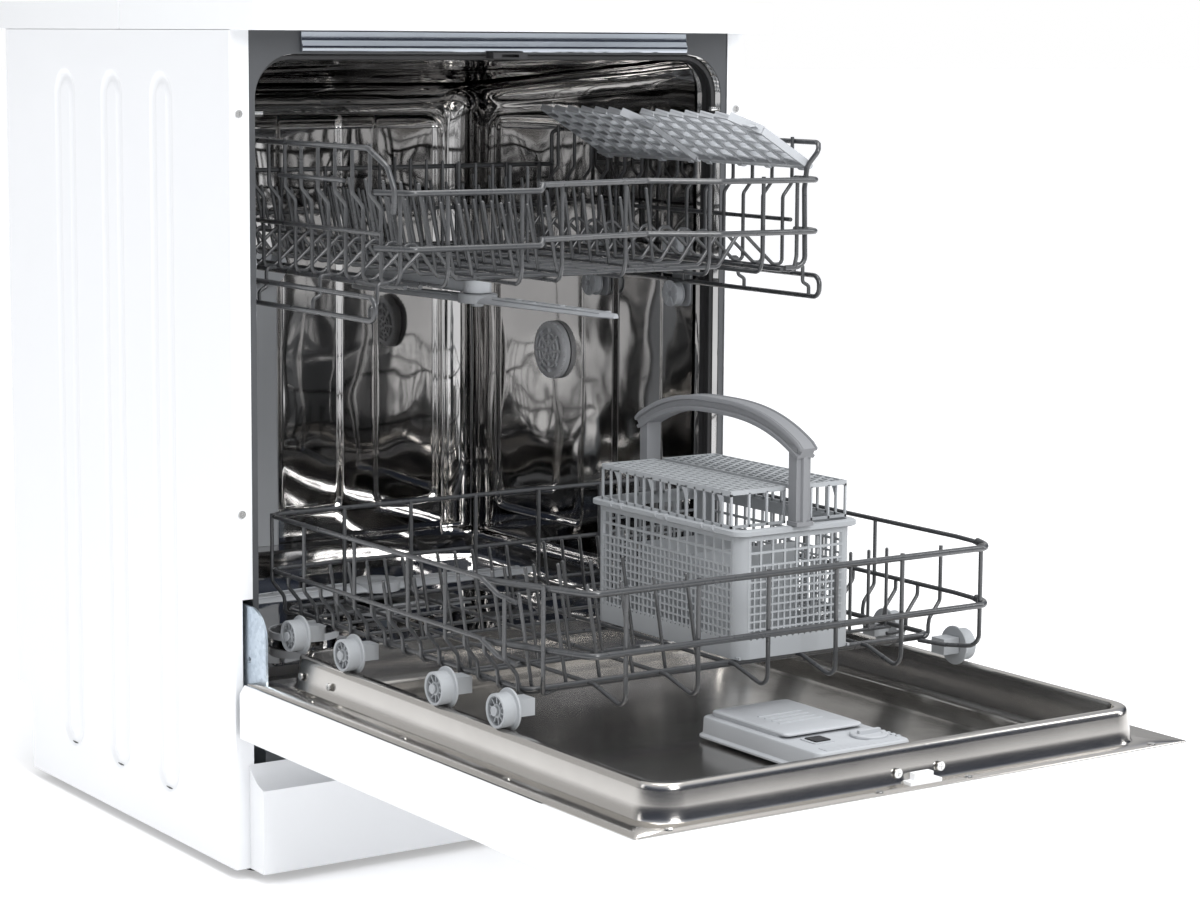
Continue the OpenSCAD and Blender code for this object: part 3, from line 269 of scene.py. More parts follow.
def zinc_sheet():
    """Galvanised sheet with its grey spangle."""
    f = Finish("galvanised_sheet", "galvanised", Metallic=0.9)
    spangle = f.node("ShaderNodeTexVoronoi", {"feature": "F1"}, {"Vector": f.place, "Scale": 260.0})["Color"]
    share = f.node("ShaderNodeSeparateColor", None, {"Color": spangle})[0]
    return f.look(f.between(share, (0.54, 0.61, 0.68), (0.45, 0.52, 0.59)), share * 0.2 + 0.28,
                  (f.noise(90.0, 3.0), 0.0002))


def coated_wire():
    """Nylon coating on steel wire: satin, a little uneven where it pooled."""
    f = Finish("nylon_coated_wire", "wire_coating", Coat_Weight=0.5, Coat_Roughness=0.12)
    pooled = f.noise(90.0, 3.0)
    return f.look(f.between(pooled, (0.048, 0.050, 0.053), (0.028, 0.030, 0.033)), pooled * 0.2 + 0.2,
                  (f.noise(700.0, 2.0), 0.0001), (pooled, 0.0006))


def rubber():
    """Black rubber, dull with dust."""
    f = Finish("seal_rubber", "black_rubber")
    dust = f.noise(40.0, 4.0)
    return f.look(f.between(dust, (0.014, 0.014, 0.015), (0.03, 0.03, 0.032)), dust * 0.2 + 0.55,
                  (f.noise(900.0, 2.0), 0.0001))


def satin_metal(name, slot, light, dark, rough):
    """Rolled bright metal with lines along its length."""
    f = Finish(name, slot, Metallic=1.0)
    lines = f.noise(30.0, 3.0, stretch=(1.0, 60.0, 60.0))
    return f.look(f.between(lines, light, dark), lines * rough * 0.5 + rough, (lines, 0.00001))


LAMINATE = enamel("worktop_laminate", "white_laminate", (0.84, 0.85, 0.86), (0.80, 0.81, 0.82), 0.34)
ENAMEL = enamel("white_enamel", "white_enamel", (0.82, 0.83, 0.845), (0.79, 0.80, 0.815), 0.26)
FRAME_PAINT = enamel("frame_paint", "grey_frame", (0.058, 0.061, 0.066), (0.044, 0.047, 0.052), 0.45)
ZINC = zinc_sheet()
TUB_STEEL = polished_steel("tub_steel", 0.0032, 0.035, (0.58, 0.57, 0.56), (0.44, 0.435, 0.43))
LINER_STEEL = polished_steel("liner_steel", 0.0012, 0.16, (0.60, 0.58, 0.55), (0.53, 0.51, 0.485))
SCREW_METAL = satin_metal("bright_screws", "bright_screw", (0.75, 0.75, 0.74), (0.55, 0.55, 0.54), 0.18)
BAR_METAL = satin_metal("bar_aluminium", "bar_aluminium", (0.56, 0.60, 0.65), (0.51, 0.55, 0.60), 0.07)
RUBBER = rubber()
WIRE_COAT = coated_wire()
WHITE_PLASTIC = moulded("white_plastic", "white_plastic", (0.84, 0.85, 0.86), (0.80, 0.81, 0.825), 0.3, 500.0)
BLACK_PLASTIC = moulded("black_plastic", "black_plastic", (0.016, 0.016, 0.018), (0.026, 0.026, 0.029), 0.45)
LIGHT_PLASTIC = moulded("light_grey_plastic", "light_plastic", (0.42, 0.435, 0.455), (0.36, 0.375, 0.395),
                        0.38)
BASKET_PLASTIC = moulded("basket_plastic", "light_plastic", (0.35, 0.365, 0.38), (0.295, 0.31, 0.325), 0.42)
HANDLE_PLASTIC = moulded("handle_plastic", "mid_plastic", (0.20, 0.205, 0.215), (0.165, 0.17, 0.18), 0.4)
MID_PLASTIC = moulded("mid_grey_plastic", "mid_plastic", (0.31, 0.32, 0.335), (0.25, 0.26, 0.275), 0.4)
VENT_PLASTIC = moulded("vent_plastic", "mid_plastic", (0.60, 0.61, 0.63), (0.50, 0.51, 0.53), 0.36)
PUMP_PLASTIC = moulded("pump_plastic", "pump_plastic", (0.035, 0.037, 0.04), (0.025, 0.026, 0.03), 0.5)


# Shapes

def spread(low, high, count):
    """count values from low to high."""
    return [low + (high - low) * i / (count - 1) for i in range(count)]


def arc(cx, cy, radius, start, end, steps):
    """Points of an arc between two angles in degrees."""
    angles = [math.radians(start + (end - start) * i / steps) for i in range(steps + 1)]
    return [(cx + radius * math.cos(a), cy + radius * math.sin(a)) for a in angles]


def oval(cx, cy, wide, tall, count):
    """count points round an oval of half width wide and half height tall."""
    angles = [2 * math.pi * i / count for i in range(count)]
    return [(cx + wide * math.cos(a), cy + tall * math.sin(a)) for a in angles]


def round_rect(x0, y0, x1, y1, radius, steps=7):
    """The outline of a rectangle with round corners, counted anticlockwise."""
    left, low, right, high = x0 + radius, y0 + radius, x1 - radius, y1 - radius
    return (arc(right, high, radius, 0, 90, steps) + arc(left, high, radius, 90, 180, steps)
            + arc(left, low, radius, 180, 270, steps) + arc(right, low, radius, 270, 360, steps))


def loop_at(outline, axis, value):
    """An outline at one value on an axis: x takes (y, z), y takes (x, z) and z takes (x, y)."""
    if axis == "x":
        return [(value, a, b) for a, b in outline]
    if axis == "y":
        return [(a, value, b) for a, b in outline]
    return [(a, b, value) for a, b in outline]


def across(half):
    """A path from the left over to the right, from its right half."""
    return [(-a, b) for a, b in half] + list(reversed(half))


def rounded(corners, bend, closed=False, steps=5):
    """A path through corners with each corner bent to a radius."""
    corners = [Vector(c) for c in corners]
    count = len(corners)
    path = []
    for i, corner in enumerate(corners):
        before = corners[i - 1] - corner
        after = corners[(i + 1) % count] - corner
        at_end = not closed and i in (0, count - 1)
        if at_end or before.angle(after) > math.pi - 0.02:
            path.append(corner)
            continue
        half_turn = before.angle(after) / 2
        reach = min(bend / math.tan(half_turn), before.length * 0.49, after.length * 0.49)
        radius = reach * math.tan(half_turn)
        a = corner + before.normalized() * reach
        b = corner + after.normalized() * reach
        inwards = (before.normalized() + after.normalized()).normalized()
        middle = corner + inwards * (radius / math.sin(half_turn))
        path += [middle + (a.lerp(b, s / steps) - middle).normalized() * radius for s in range(steps + 1)]
    return path


def square_to(along):
    """A direction square to another one."""
    side = along.cross(Vector((0, 0, 1)))
    if side.length < 0.2:
        side = along.cross(Vector((0, 1, 0)))
    return side.normalized()


def smoothed(share):
    """A share from 0 to 1 with soft ends."""
    share = max(0.0, min(1.0, share))
    return share * share * (3 - 2 * share)


class Shape:
    """Points and faces of one piece, in millimetres."""

    def __init__(self):
        self.points = []
        self.faces = []

    def add(self, points, faces):
        start = len(self.points)
        self.points += [Vector(p) for p in points]
        self.faces += [[start + i for i in face] for face in faces]
        return self

    def skin(self, rings, closed=False, capped=True):
        """A skin over rings of equally many points."""
        count = len(rings[0])
        faces = []
        for i in range(len(rings) if closed else len(rings) - 1):
            a, b = i * count, (i + 1) % len(rings) * count
            faces += [(a + j, a + (j + 1) % count, b + (j + 1) % count, b + j) for j in range(count)]
        if capped and not closed:
            last = (len(rings) - 1) * count
            faces += [tuple(range(count)), tuple(range(last, last + count))]
        return self.add([p for ring in rings for p in ring], faces)

    def dish(self, rings):
        """A skin over rings that is closed at its last ring only."""
        self.skin(rings, capped=False)
        return self.add(rings[-1], [tuple(range(len(rings[-1])))])

    def tube(self, path, radius, sides=8, closed=False):
        """A round bar along a path; radius is one number, or a list of one for each point."""
        path = [Vector(p) for p in path]
        count = len(path)
        radii = radius if isinstance(radius, list) else [radius] * count
        rings = []
        side = None
        for i, point in enumerate(path):
            ahead = path[(i + 1) % count] if closed or i < count - 1 else point
            behind = path[i - 1] if closed or i > 0 else point
            along = (ahead - behind).normalized()
            if side is None:
                side = square_to(along)
            else:
                side = before.rotation_difference(along) @ side
                side = (side - along * side.dot(along)).normalized()
            before = along
            up = along.cross(side)
            rings.append([point + side * u + up * v for u, v in oval(0, 0, radii[i], radii[i], sides)])
        return self.skin(rings, closed)

    def wire(self, corners, radius, bend=8.0, closed=False, sides=8, tip=False):
        """A bent wire; a tip is rounded off at its last end."""
        path = rounded(corners, bend, closed)
        if not tip:
            return self.tube(path, radius, sides, closed)
        end = path[-1]
        neck = end - (end - path[-2]).normalized() * radius * 0.6
        self.tube(path[:-1] + [neck], radius, sides)
        return self.tube([neck, end], [radius, radius * 0.45], sides)

    def slab(self, outline, axis, low, high):
        """A flat outline thickened along an axis."""
        return self.skin([loop_at(outline, axis, low), loop_at(outline, axis, high)])

    def frame(self, outer, inner, axis, low, high):
        """A ring between two outlines of equally many points."""
        return self.skin([loop_at(outer, axis, low), loop_at(outer, axis, high),
                          loop_at(inner, axis, high), loop_at(inner, axis, low)], closed=True)

    def block(self, low, high):
        x0, y0, z0 = low
        x1, y1, z1 = high
        return self.slab([(x0, y0), (x1, y0), (x1, y1), (x0, y1)], "z", z0, z1)

    def strip(self, a, b, half, low, high):
        """An upright strip over a line in plan from a to b."""
        a, b = Vector(a), Vector(b)
        along = (b - a).normalized()
        aside = Vector((-along.y, along.x)) * half
        return self.slab([a - aside, b - aside, b + aside, a + aside], "z", low, high)

    def turned(self, profile, centre, axis, sides=32, closed=False):
        """A profile of (radius, distance) pairs turned about an axis through centre."""
        cx, cy, cz = centre
        rings = []
        for radius, along in profile:
            circle = loop_at(oval(0, 0, radius, radius, sides), axis, along)
            rings.append([(cx + x, cy + y, cz + z) for x, y, z in circle])
        return self.skin(rings, closed)

    def spokes(self, low, high, count, centre, first=0.0):
        """Copies of a block round an axis along X through centre; first is the first one's angle."""
        for i in range(count):
            turn = Matrix.Rotation(math.radians(360 * i / count + first), 4, "X")
            spoke = Shape().block(low, high).moved(Matrix.Translation(centre) @ turn)
            self.add(spoke.points, spoke.faces)

    def sheet(self, outer, holes, axis, level):
        """A flat face with holes."""
        loops = [[Vector(p) for p in loop_at(loop, axis, level)] for loop in [outer, *holes]]
        return self.add([p for loop in loops for p in loop], tessellate_polygon(loops))

    def grid(self, columns, rows, at):
        """A grid of faces; at gives the point of a column and a row."""
        n = len(columns)
        faces = [(r * n + c, r * n + c + 1, (r + 1) * n + c + 1, (r + 1) * n + c)
                 for r in range(len(rows) - 1) for c in range(n - 1)]
        return self.add([at(c, r) for r in rows for c in columns], faces)

    def moved(self, matrix):
        self.points = [matrix @ p for p in self.points]
        return self

    def flipped(self):
        """The same shape on the other side of X = 0."""
        self.points = [Vector((-p.x, p.y, p.z)) for p in self.points]
        return self

    def mirrored(self):
        """Adds the same shape on the other side of X = 0."""
        points = [(-p.x, p.y, p.z) for p in self.points]
        return self.add(points, [list(reversed(face)) for face in self.faces])

    def to_object(self, name):
        mesh = bpy.data.meshes.new(name)
        mesh.from_pydata([place(p) for p in self.points], [], self.faces)
        obj = bpy.data.objects.new(name, mesh)
        bpy.context.scene.collection.objects.link(obj)
        return obj

    def piece(self, name, finish, body, nodes, bevel=0.0, segments=2, smooth=40, weld=0.0):
        """The piece as an object of the scene, riding on a body and standing for CAD nodes."""
        obj = self.to_object(name)
        mesh = obj.data
        b = bmesh.new()
        b.from_mesh(mesh)
        if weld:
            bmesh.ops.remove_doubles(b, verts=b.verts, dist=weld / 1000)
        bmesh.ops.recalc_face_normals(b, faces=b.faces)
        b.to_mesh(mesh)
        b.free()
        mesh.materials.append(finish.material)
        if bevel:
            round_edges(obj, bevel, segments)
        mesh.shade_smooth()
        mesh.set_sharp_from_angle(angle=math.radians(smooth))
        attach(obj, body)
        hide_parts(*nodes)
        return obj


def round_edges(obj, width, segments=2):
    bevel = obj.modifiers.new("edges", "BEVEL")
    bevel.width = width / 1000
    bevel.segments = segments
    bevel.limit_method = "ANGLE"
    bevel.angle_limit = math.radians(30)
    bevel.harden_normals = True


def sheet_metal(obj, way, thickness, offset=-1.0):
    """Thickens an open sheet, whose faces are first turned so that most of its area looks one way."""
    if way:
        b = bmesh.new()
        b.from_mesh(obj.data)
        if sum(f.normal.dot(Vector(way)) * f.calc_area() for f in b.faces) < 0:
            bmesh.ops.reverse_faces(b, faces=b.faces)
        b.to_mesh(obj.data)
        b.free()
    sheet = obj.modifiers.new("sheet", "SOLIDIFY")
    sheet.thickness = thickness / 1000
    sheet.offset = offset


def finish_node(name, finish, bevel):
    """A CAD solid that stays, with its material and softened edges."""
    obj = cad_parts[name]
    obj.data.materials.clear()
    obj.data.materials.append(finish.material)
    obj.data.shade_smooth()
    obj.data.set_sharp_from_angle(angle=math.radians(35))
    round_edges(obj, bevel)


# Cabinet

def worktop():
    """Laminated board in an edging of a front and a rear half, which meet halfway along its sides."""
    s = Shape()
    edging, corner = 4, 5
    edge_top = TOTAL_H - 0.25
    board_x, board_y = HALF_W - edging, WORKTOP_HALF_D - edging
    s.block((-board_x, -board_y, TOP_Z + 1), (board_x, board_y, TOTAL_H))
    bends = arc(corner - HALF_W, corner, corner, 180, 270, 4)
    bends += arc(HALF_W - corner, corner, corner, 270, 360, 4)
    for sign in (1, -1):
        joint = WORKTOP_JOINT_Y - sign * 0.35
        ends = [(x, sign * (y - WORKTOP_HALF_D)) for x, y in bends]
        s.slab([(-HALF_W, joint), *ends, (HALF_W, joint)], "z", TOP_Z, edge_top)
    s.block((-HALF_W + 1, WORKTOP_JOINT_Y - 3, TOP_Z + 1), (HALF_W - 1, WORKTOP_JOINT_Y + 3, edge_top - 1))
    s.piece("worktop_board", LAMINATE, "cabinet", ["worktop"], bevel=1.6, segments=3)


def top_crossbar():
    """Bright bar under the worktop: a stepped face over a lip that stands out."""
    profile = [(1.1, 814.0), (-2.1, 814.0), (-2.6, 805.6), (-3.2, 804.9), (-3.5, 803.0),
               (-4.6, 801.9), (-5.0, 800.6), (-4.5, 796.0), (-3.6, 795.0), (1.1, 795.0)]
    s = Shape().slab([(FRONT_Y + y, z) for y, z in profile], "x", -CROSSBAR_HALF_L, CROSSBAR_HALF_L)
    s.piece("stepped_crossbar", BAR_METAL, "cabinet", ["top_crossbar"], bevel=0.25)


def bead_outline(y, grow):
    """The outline of an upright bead in (y, z), grown all round."""
    half = BEAD_HALF_W + grow
    low, high = BEAD_Z[0] - grow + half, BEAD_Z[1] + grow - half
    return arc(y, high, half, 0, 180, 12) + arc(y, low, half, 180, 360, 12)


def side_panel(side):
    """Side sheet with three pressed beads, folded at the front and at the back."""
    s = Shape()
    front, rear = FRONT_Y + FOLD_R, REAR_Y - FOLD_R
    foot_corner = arc(264.0, 75.0, 25, 105, 180, 5)
    outer = [(front, FOOT_H), (front, TOP_Z), (rear, TOP_Z), (rear, REAR_FOLD_FOOT_Z), *foot_corner,
             (239.0, FOOT_H)]
    s.sheet(outer, [bead_outline(y, 6) for y in BEAD_YS], "x", HALF_W)
    # the bead's floor comes back level with the panel, so each bead shows as a groove round a field
    press = ((6.0, 0.0), (4.6, 0.1), (3.2, 0.5), (1.6, 1.3), (0.0, 2.0), (-1.6, 2.4), (-3.4, 2.55),
             (-5.6, 2.3), (-7.2, 1.6), (-8.8, 0.8), (-10.4, 0.3), (-12.0, 0.2))
    for y in BEAD_YS:
        s.dish([loop_at(bead_outline(y, grow), "x", HALF_W - deep) for grow, deep in press])
    front_fold = [(HALF_W, front), (HALF_W - 0.45, FRONT_Y + 0.45), (HALF_W - FOLD_R, FRONT_Y)]
    rear_fold = [(HALF_W, rear), (HALF_W - FOLD_R, REAR_Y), (HALF_W - 12, REAR_Y)]
    for fold, foot in ((front_fold, FOOT_H), (rear_fold, REAR_FOLD_FOOT_Z)):
        s.grid(fold, (foot, TOP_Z), lambda point, z: (*point, z))
    notch_foot, notch_top = HINGE_NOTCH_Z
    flange = [(HALF_W - FOLD_R, FOOT_H), (HALF_W - FOLD_R, TOP_Z), (FLANGE_X, TOP_Z), (FLANGE_X, notch_top),
              (HINGE_NOTCH_X, notch_top), (HINGE_NOTCH_X, notch_foot), (FLANGE_X, notch_foot),
              (FLANGE_X, FOOT_H)]
    s.sheet(flange, [oval(SIDE_SCREW_X, z, 5.2, 5.2, 20) for z in SIDE_SCREW_ZS], "y", FRONT_Y)
    for z in SIDE_SCREW_ZS:
        s.dish([loop_at(oval(SIDE_SCREW_X, z, r, r, 20), "y", FRONT_Y + deep)
                for r, deep in ((5.2, 0), (4.4, 0.25), (3.8, 0.3))])
    if side == "left":
        s.flipped()
    piece = s.piece(f"{side}_side_sheet", ENAMEL, "cabinet", [f"{side}_side_panel"], smooth=50, weld=0.05)
    sheet_metal(piece, (-1 if side == "left" else 1, 0, 0), 1.2)
    piece.modifiers.new("weighted", "WEIGHTED_NORMAL").keep_sharp = True


def fine_steps(low, high, edges, step):
    """Steps from low to high that lie closer together near the pressed edges."""
    fine, least = 2.0, 0.7
    values = spread(low, high, max(2, round((high - low) / step) + 1))
    for edge in edges:
        values += [edge + i * fine for i in range(-4, 5) if low < edge + i * fine < high]
    kept = [low]
    for value in sorted(values):
        if value - kept[-1] > least and high - value > least:
            kept.append(value)
    return kept + [high]


def recess(u, v, panels):
    """How far a wall is pressed out inside round-cornered panels."""
    slope = 5.5
    deep = 0.0
    for u0, u1, v0, v1 in panels:
        pu = abs(u - (u0 + u1) / 2) - (u1 - u0) / 2 + PANEL_R
        pv = abs(v - (v0 + v1) / 2) - (v1 - v0) / 2 + PANEL_R
        away = math.hypot(max(pu, 0.0), max(pv, 0.0)) + min(max(pu, pv), 0.0) - PANEL_R
        deep = max(deep, PANEL_DEEP * smoothed(0.5 - away / slope))
    return deep


def dent(u, v, seed, *shares):
    """The slight dents of a deep-drawn wall, which fade where one of the shares goes down to 0."""
    fade = max(0.0, min(1.0, *shares))
    return 0.8 * noise.noise(Vector((u / 90.0, v / 130.0, seed))) * fade


def tub_section(y):
    """Half the tub's outline across, from the floor's middle up to the ceiling's middle."""
    along = max(0.0, (y - TUB_FRONT_Y) / (TUB_REAR_Y - TUB_FRONT_Y))
    shrink = max(0.0, y - (TUB_REAR_Y - TUB_REAR_R))
    inset = TUB_REAR_R - math.sqrt(max(0.0, TUB_REAR_R ** 2 - shrink ** 2))
    wall = TUB_X - inset
    top = CEILING_FRONT_Z + (CEILING_REAR_Z - CEILING_FRONT_Z) * along - inset
    sunk = 1.0 if y < REAR_LEDGE_Y - 3 else 0.0
    floor = FLOOR_Z if sunk else LEDGE_Z
    ledge = min(LEDGE_X, wall - 6.0)
    foot = LEDGE_Z + 6.0
    section = [(x, floor) for x in (0.0, 60.0, 120.0, 180.0, 225.0)]
    section += [(ledge - 8.0, floor), (ledge - 2.5, floor + 2.0 * sunk), (ledge - 0.3, floor + 8.0 * sunk),
                (ledge, LEDGE_Z - 6.0 * sunk), (ledge + 0.8, LEDGE_Z - 1.2 * sunk), (ledge + 2.5, LEDGE_Z),
                (wall - 3.2, LEDGE_Z), (wall - 1.5, LEDGE_Z + 0.6), (wall - 0.4, LEDGE_Z + 2.2), (wall, foot)]
    section += [(wall, foot + (top - TUB_TOP_R - foot) * share) for share in TUB_WALL_SHARES]
    section += arc(wall - TUB_TOP_R, top - TUB_TOP_R, TUB_TOP_R, 0, 90, 7)[1:]
    narrowed = (wall - TUB_TOP_R) / (TUB_X - TUB_TOP_R)
    return section + [(x * narrowed, top) for x in (225.0, 216.0, 207.0, 150.0, 75.0, 0.0)]


def pressed(x, y, z):
    """A point of the tub's skin, moved by the panels and the slight dents of its walls."""
    foot, top, fade = LEDGE_Z + 8, 745, 30
    if abs(x) > TUB_X - 1.0 and foot < z < top + 15:
        seed = 3.0 if x > 0 else 8.0
        dented = dent(y, z, seed, (z - foot) / fade, (top - z) / fade, (y - TUB_FRONT_Y) / 20)
        x += math.copysign(recess(y, z, SIDE_PANELS) - dented, x)
    elif z > CEILING_REAR_Z - 13 and abs(x) < TUB_X - TUB_REAR_R:
        z += recess(x, y, CEILING_PANELS)
    return x, y, z


def mouth_point(x, z):
    """The nearest point of the tub's mouth, further out."""
    middle = (SILL_Z + MOUTH_TOP_Z) / 2
    tall = (MOUTH_TOP_Z - SILL_Z) / 2
    dz = z - middle
    reach = min(MOUTH_X / abs(x) if x else 1e9, tall / abs(dz) if dz else 1e9)
    px, pz = x * reach, dz * reach
    cx, cz = MOUTH_X - MOUTH_R, tall - MOUTH_R
    if abs(px) > cx and abs(pz) > cz:
        along = Vector((abs(px) - cx, abs(pz) - cz)).normalized() * MOUTH_R
        px, pz = math.copysign(cx + along.x, px), math.copysign(cz + along.y, pz)
    return px, pz + middle


def tub():
    """Deep-drawn tub with rounded corners, floor ledges and tall panels pressed in its walls."""
    s = Shape()
    panel_ys = [value for panel in SIDE_PANELS for value in panel[:2]]
    ys = [TUB_FRONT_Y, *fine_steps(TUB_FRONT_Y + 6, REAR_LEDGE_Y - 4.0, panel_ys, 24.0), REAR_LEDGE_Y - 2.0]
    bend = (2, 15, 30, 45, 60, 72, 82, 90)
    ys += [TUB_REAR_Y - TUB_REAR_R + TUB_REAR_R * math.sin(math.radians(angle)) for angle in bend]
    rings = []
    for y in ys:
        half = tub_section(y)
        whole = half + [(-x, z) for x, z in reversed(half[1:-1])]
        rings.append([pressed(x, y, z) for x, z in whole])
    s.skin(rings, capped=False)
    # the step from the walls out to the mouth, and the mouth that holds the seal
    mouth = [mouth_point(x, z) for x, _, z in rings[0]]
    s.skin([rings[0], loop_at(mouth, "y", TUB_FRONT_Y), loop_at(mouth, "y", FRONT_Y + 2.6)], capped=False)
    # back wall
    wall, top = TUB_X - TUB_REAR_R, CEILING_REAR_Z - TUB_REAR_R
    xs = fine_steps(-wall, wall, [value for panel in BACK_PANELS for value in panel[:2]], 16.0)
    zs = [LEDGE_Z, *fine_steps(LEDGE_Z + 2.0, top, BACK_PANELS[0][2:], 16.0)]

    def back_point(x, z):
        fade = 30
        dented = dent(x, z, 5.0, (wall - abs(x)) / fade, (top - z) / fade, (z - LEDGE_Z) / fade)
        return x, TUB_REAR_Y + recess(x, z, BACK_PANELS) - dented, z

    s.grid(xs, zs, back_point)
    piece = s.piece("tub_skin", TUB_STEEL, "cabinet", ["tub"], smooth=50, weld=0.05)
    cut_round(piece, 0.0, SUMP_Y, SUMP_R)
    cut_round(piece, *SALT_MOUTH, SALT_MOUTH_R)
    sheet_metal(piece, None, 0.8, 1.0)


def cut_round(obj, x, y, radius):
    """Cuts a round hole through the tub's floor."""
    tool = Shape().turned([(radius, -12.0), (radius, 12.0)], (x, y, FLOOR_Z), "z", 48).to_object("cutter")
    cut = obj.modifiers.new("hole", "BOOLEAN")
    cut.operation = "DIFFERENCE"
    cut.object = tool
    cut.solver = "FAST"
    bpy.context.view_layer.update()
    made = bpy.data.meshes.new_from_object(obj.evaluated_get(bpy.context.evaluated_depsgraph_get()))
    obj.modifiers.remove(cut)
    obj.data = made
    bpy.data.objects.remove(tool)


def seal():
    """Rubber seal round the mouth: a foot in the channel and a soft bulb towards the door."""
    profile = ((0.1, -235.0), (0.1, -219.0), (4.6, -219.0), (5.4, -223.0), (3.2, -227.0), (6.0, -231.0),
               (5.2, -236.5), (2.0, -237.2))
    rings = []
    for inset, y in profile:
        outline = round_rect(-MOUTH_X + inset, SILL_Z + inset, MOUTH_X - inset, MOUTH_TOP_Z - inset,
                             MOUTH_R - inset, 10)
        rings.append(loop_at(outline, "y", y))
    s = Shape().skin(rings, closed=True)
    s.piece("mouth_seal", RUBBER, "cabinet", ["door_seal"], smooth=60)


def vent():
    """Round vent with two rings of slots, spokes and a hub."""
    s = Shape()
    x = TUB_X - 0.2
    centre = (x, VENT_Y, VENT_Z)
    rim = [(33, 2.6), (33, -3.0), (31.5, -5.0), (28.5, -6.4), (25.5, -6.4), (25.0, -5.2), (25.0, -3.2)]
    s.turned(rim, centre, "x", 48)
    for outer, inner in ((20.5, 18.3), (13.6, 11.4), (6.6, 3.2)):
        hoop = [(outer, -3.0), (outer, -6.8), (outer - 0.5, -7.2), (inner + 0.5, -7.2), (inner, -6.8),
                (inner, -3.0)]
        s.turned(hoop, centre, "x", 40, closed=True)
    s.spokes((-7.0, 5.5, -1.5), (-3.0, 25.4, 1.5), 8, centre)
    s.spokes((-5.6, 28.0, -0.6), (-2.6, 32.4, 0.6), 36, centre)
    s.piece("vent_grille", VENT_PLASTIC, "cabinet", ["vent_cap"], bevel=0.3)


def duct():
    """Flat water channel on the back wall with the mouth that the upper rack's pipe plugs into."""
    s = Shape()
    back = TUB_REAR_Y - 0.2
    section = [(-26.5, back), (-26.5, TUB_REAR_Y - 5), (-23.5, TUB_REAR_Y - 8), (7.5, TUB_REAR_Y - 8),
               (10.5, TUB_REAR_Y - 5), (10.5, back)]
    s.slab(section, "z", LEDGE_Z + 0.2, 530.0)
    mouth = oval(FEED_X, FEED_Z, 10.4, 10.4, 32)
    s.frame(oval(FEED_X, 551.0, 22, 21.5, 32), mouth, "y", 229.0, back)
    s.slab(mouth, "y", 244.0, 245.0)
    s.piece("water_channel", LIGHT_PLASTIC, "cabinet", ["water_feed_duct"], bevel=1.2)


def rollers(end, level):
    """A pair of spool-shaped rollers of the upper rack."""
    s = Shape()
    y, z = ROLLER_YS[end], ROLLER_ZS[level]
    profile = [(3.05, -3.0), (7.0, -3.0), (7.4, -3.2), (13.0, -3.2), (14.0, -2.8), (14.0, -2.2), (12.0, -1.9),
               (12.0, 5.9), (14.0, 6.2), (14.0, 6.9), (13.2, 7.2), (8.0, 7.2), (7.4, 6.6), (3.05, 6.6)]
    s.turned(profile, (251.9, y, z), "x", 36, closed=True)
    s.spokes((247.9, 4.6, -0.8), (249.3, 13.0, 0.8), 6, (0, y, z))
    name = f"{end}_{level}_rollers"
    s.mirrored().piece(name + "_spools", LIGHT_PLASTIC, name, [name], smooth=35)


def spray_arm(level, finish, at, size, hub_r, turn):
    """Hollow spray arm: a ribbed upper shell with nozzles, tapering to its tips."""
    s = Shape()
    length, width, deep = size
    tip, taper = 0.93, 0.35
    section = ((-1.0, 0.18), (-0.92, 0.45), (-0.62, 0.82), (-0.3, 0.97), (0.0, 1.0), (0.3, 0.97),
               (0.62, 0.82), (0.92, 0.45), (1.0, 0.18), (0.86, 0.0), (0.0, 0.0), (-0.86, 0.0))
    stations = []
    for t in spread(-1, 1, 29):
        near = abs(t)
        half = (width / 2) * (1.0 - 0.32 * near ** 1.6)
        if near > tip:
            half *= math.sqrt(max(0.05, 1 - ((near - tip) / 0.075) ** 2))
        tall = deep * (1.0 - taper * near)
        stations.append([(t * length / 2, u * half, v * tall) for u, v in section])
    s.skin(stations)
    nozzle = [(3.4, -1.0), (3.4, 0.7), (2.4, 1.3), (1.5, 1.3), (1.3, 0.4)]
    for side in (-1, 1):
        for i in range(5):
            x = side * length * (0.14 + 0.08 * i)
            top = deep * (1 - taper * abs(x) / (length / 2)) - 0.4
            s.turned(nozzle, (x, (-1) ** i * width * 0.16, top), "z", 16)
        for u in (-0.62, 0.62):
            ridge = [(side * length * along, u * width / 2 * out, deep * up)
                     for along, out, up in ((0.08, 1.0, 0.86), (0.3, 0.92, 0.74), (0.46, 0.72, 0.6))]
            s.tube(ridge, 0.9, 6)
    hub = [(hub_r, 0.0), (hub_r, deep + 1.0), (hub_r - 1.5, deep + 2.0), (hub_r * 0.5, deep + 2.0),
           (hub_r * 0.42, deep + 1.0)]
    s.turned(hub, (0, 0, 0), "z", 32)
    s.moved(Matrix.Translation(at) @ Matrix.Rotation(turn, 4, "Z"))
    s.piece(f"{level}_arm_shell", finish, f"{level}_spray_arm", [f"{level}_spray_arm"], smooth=40)


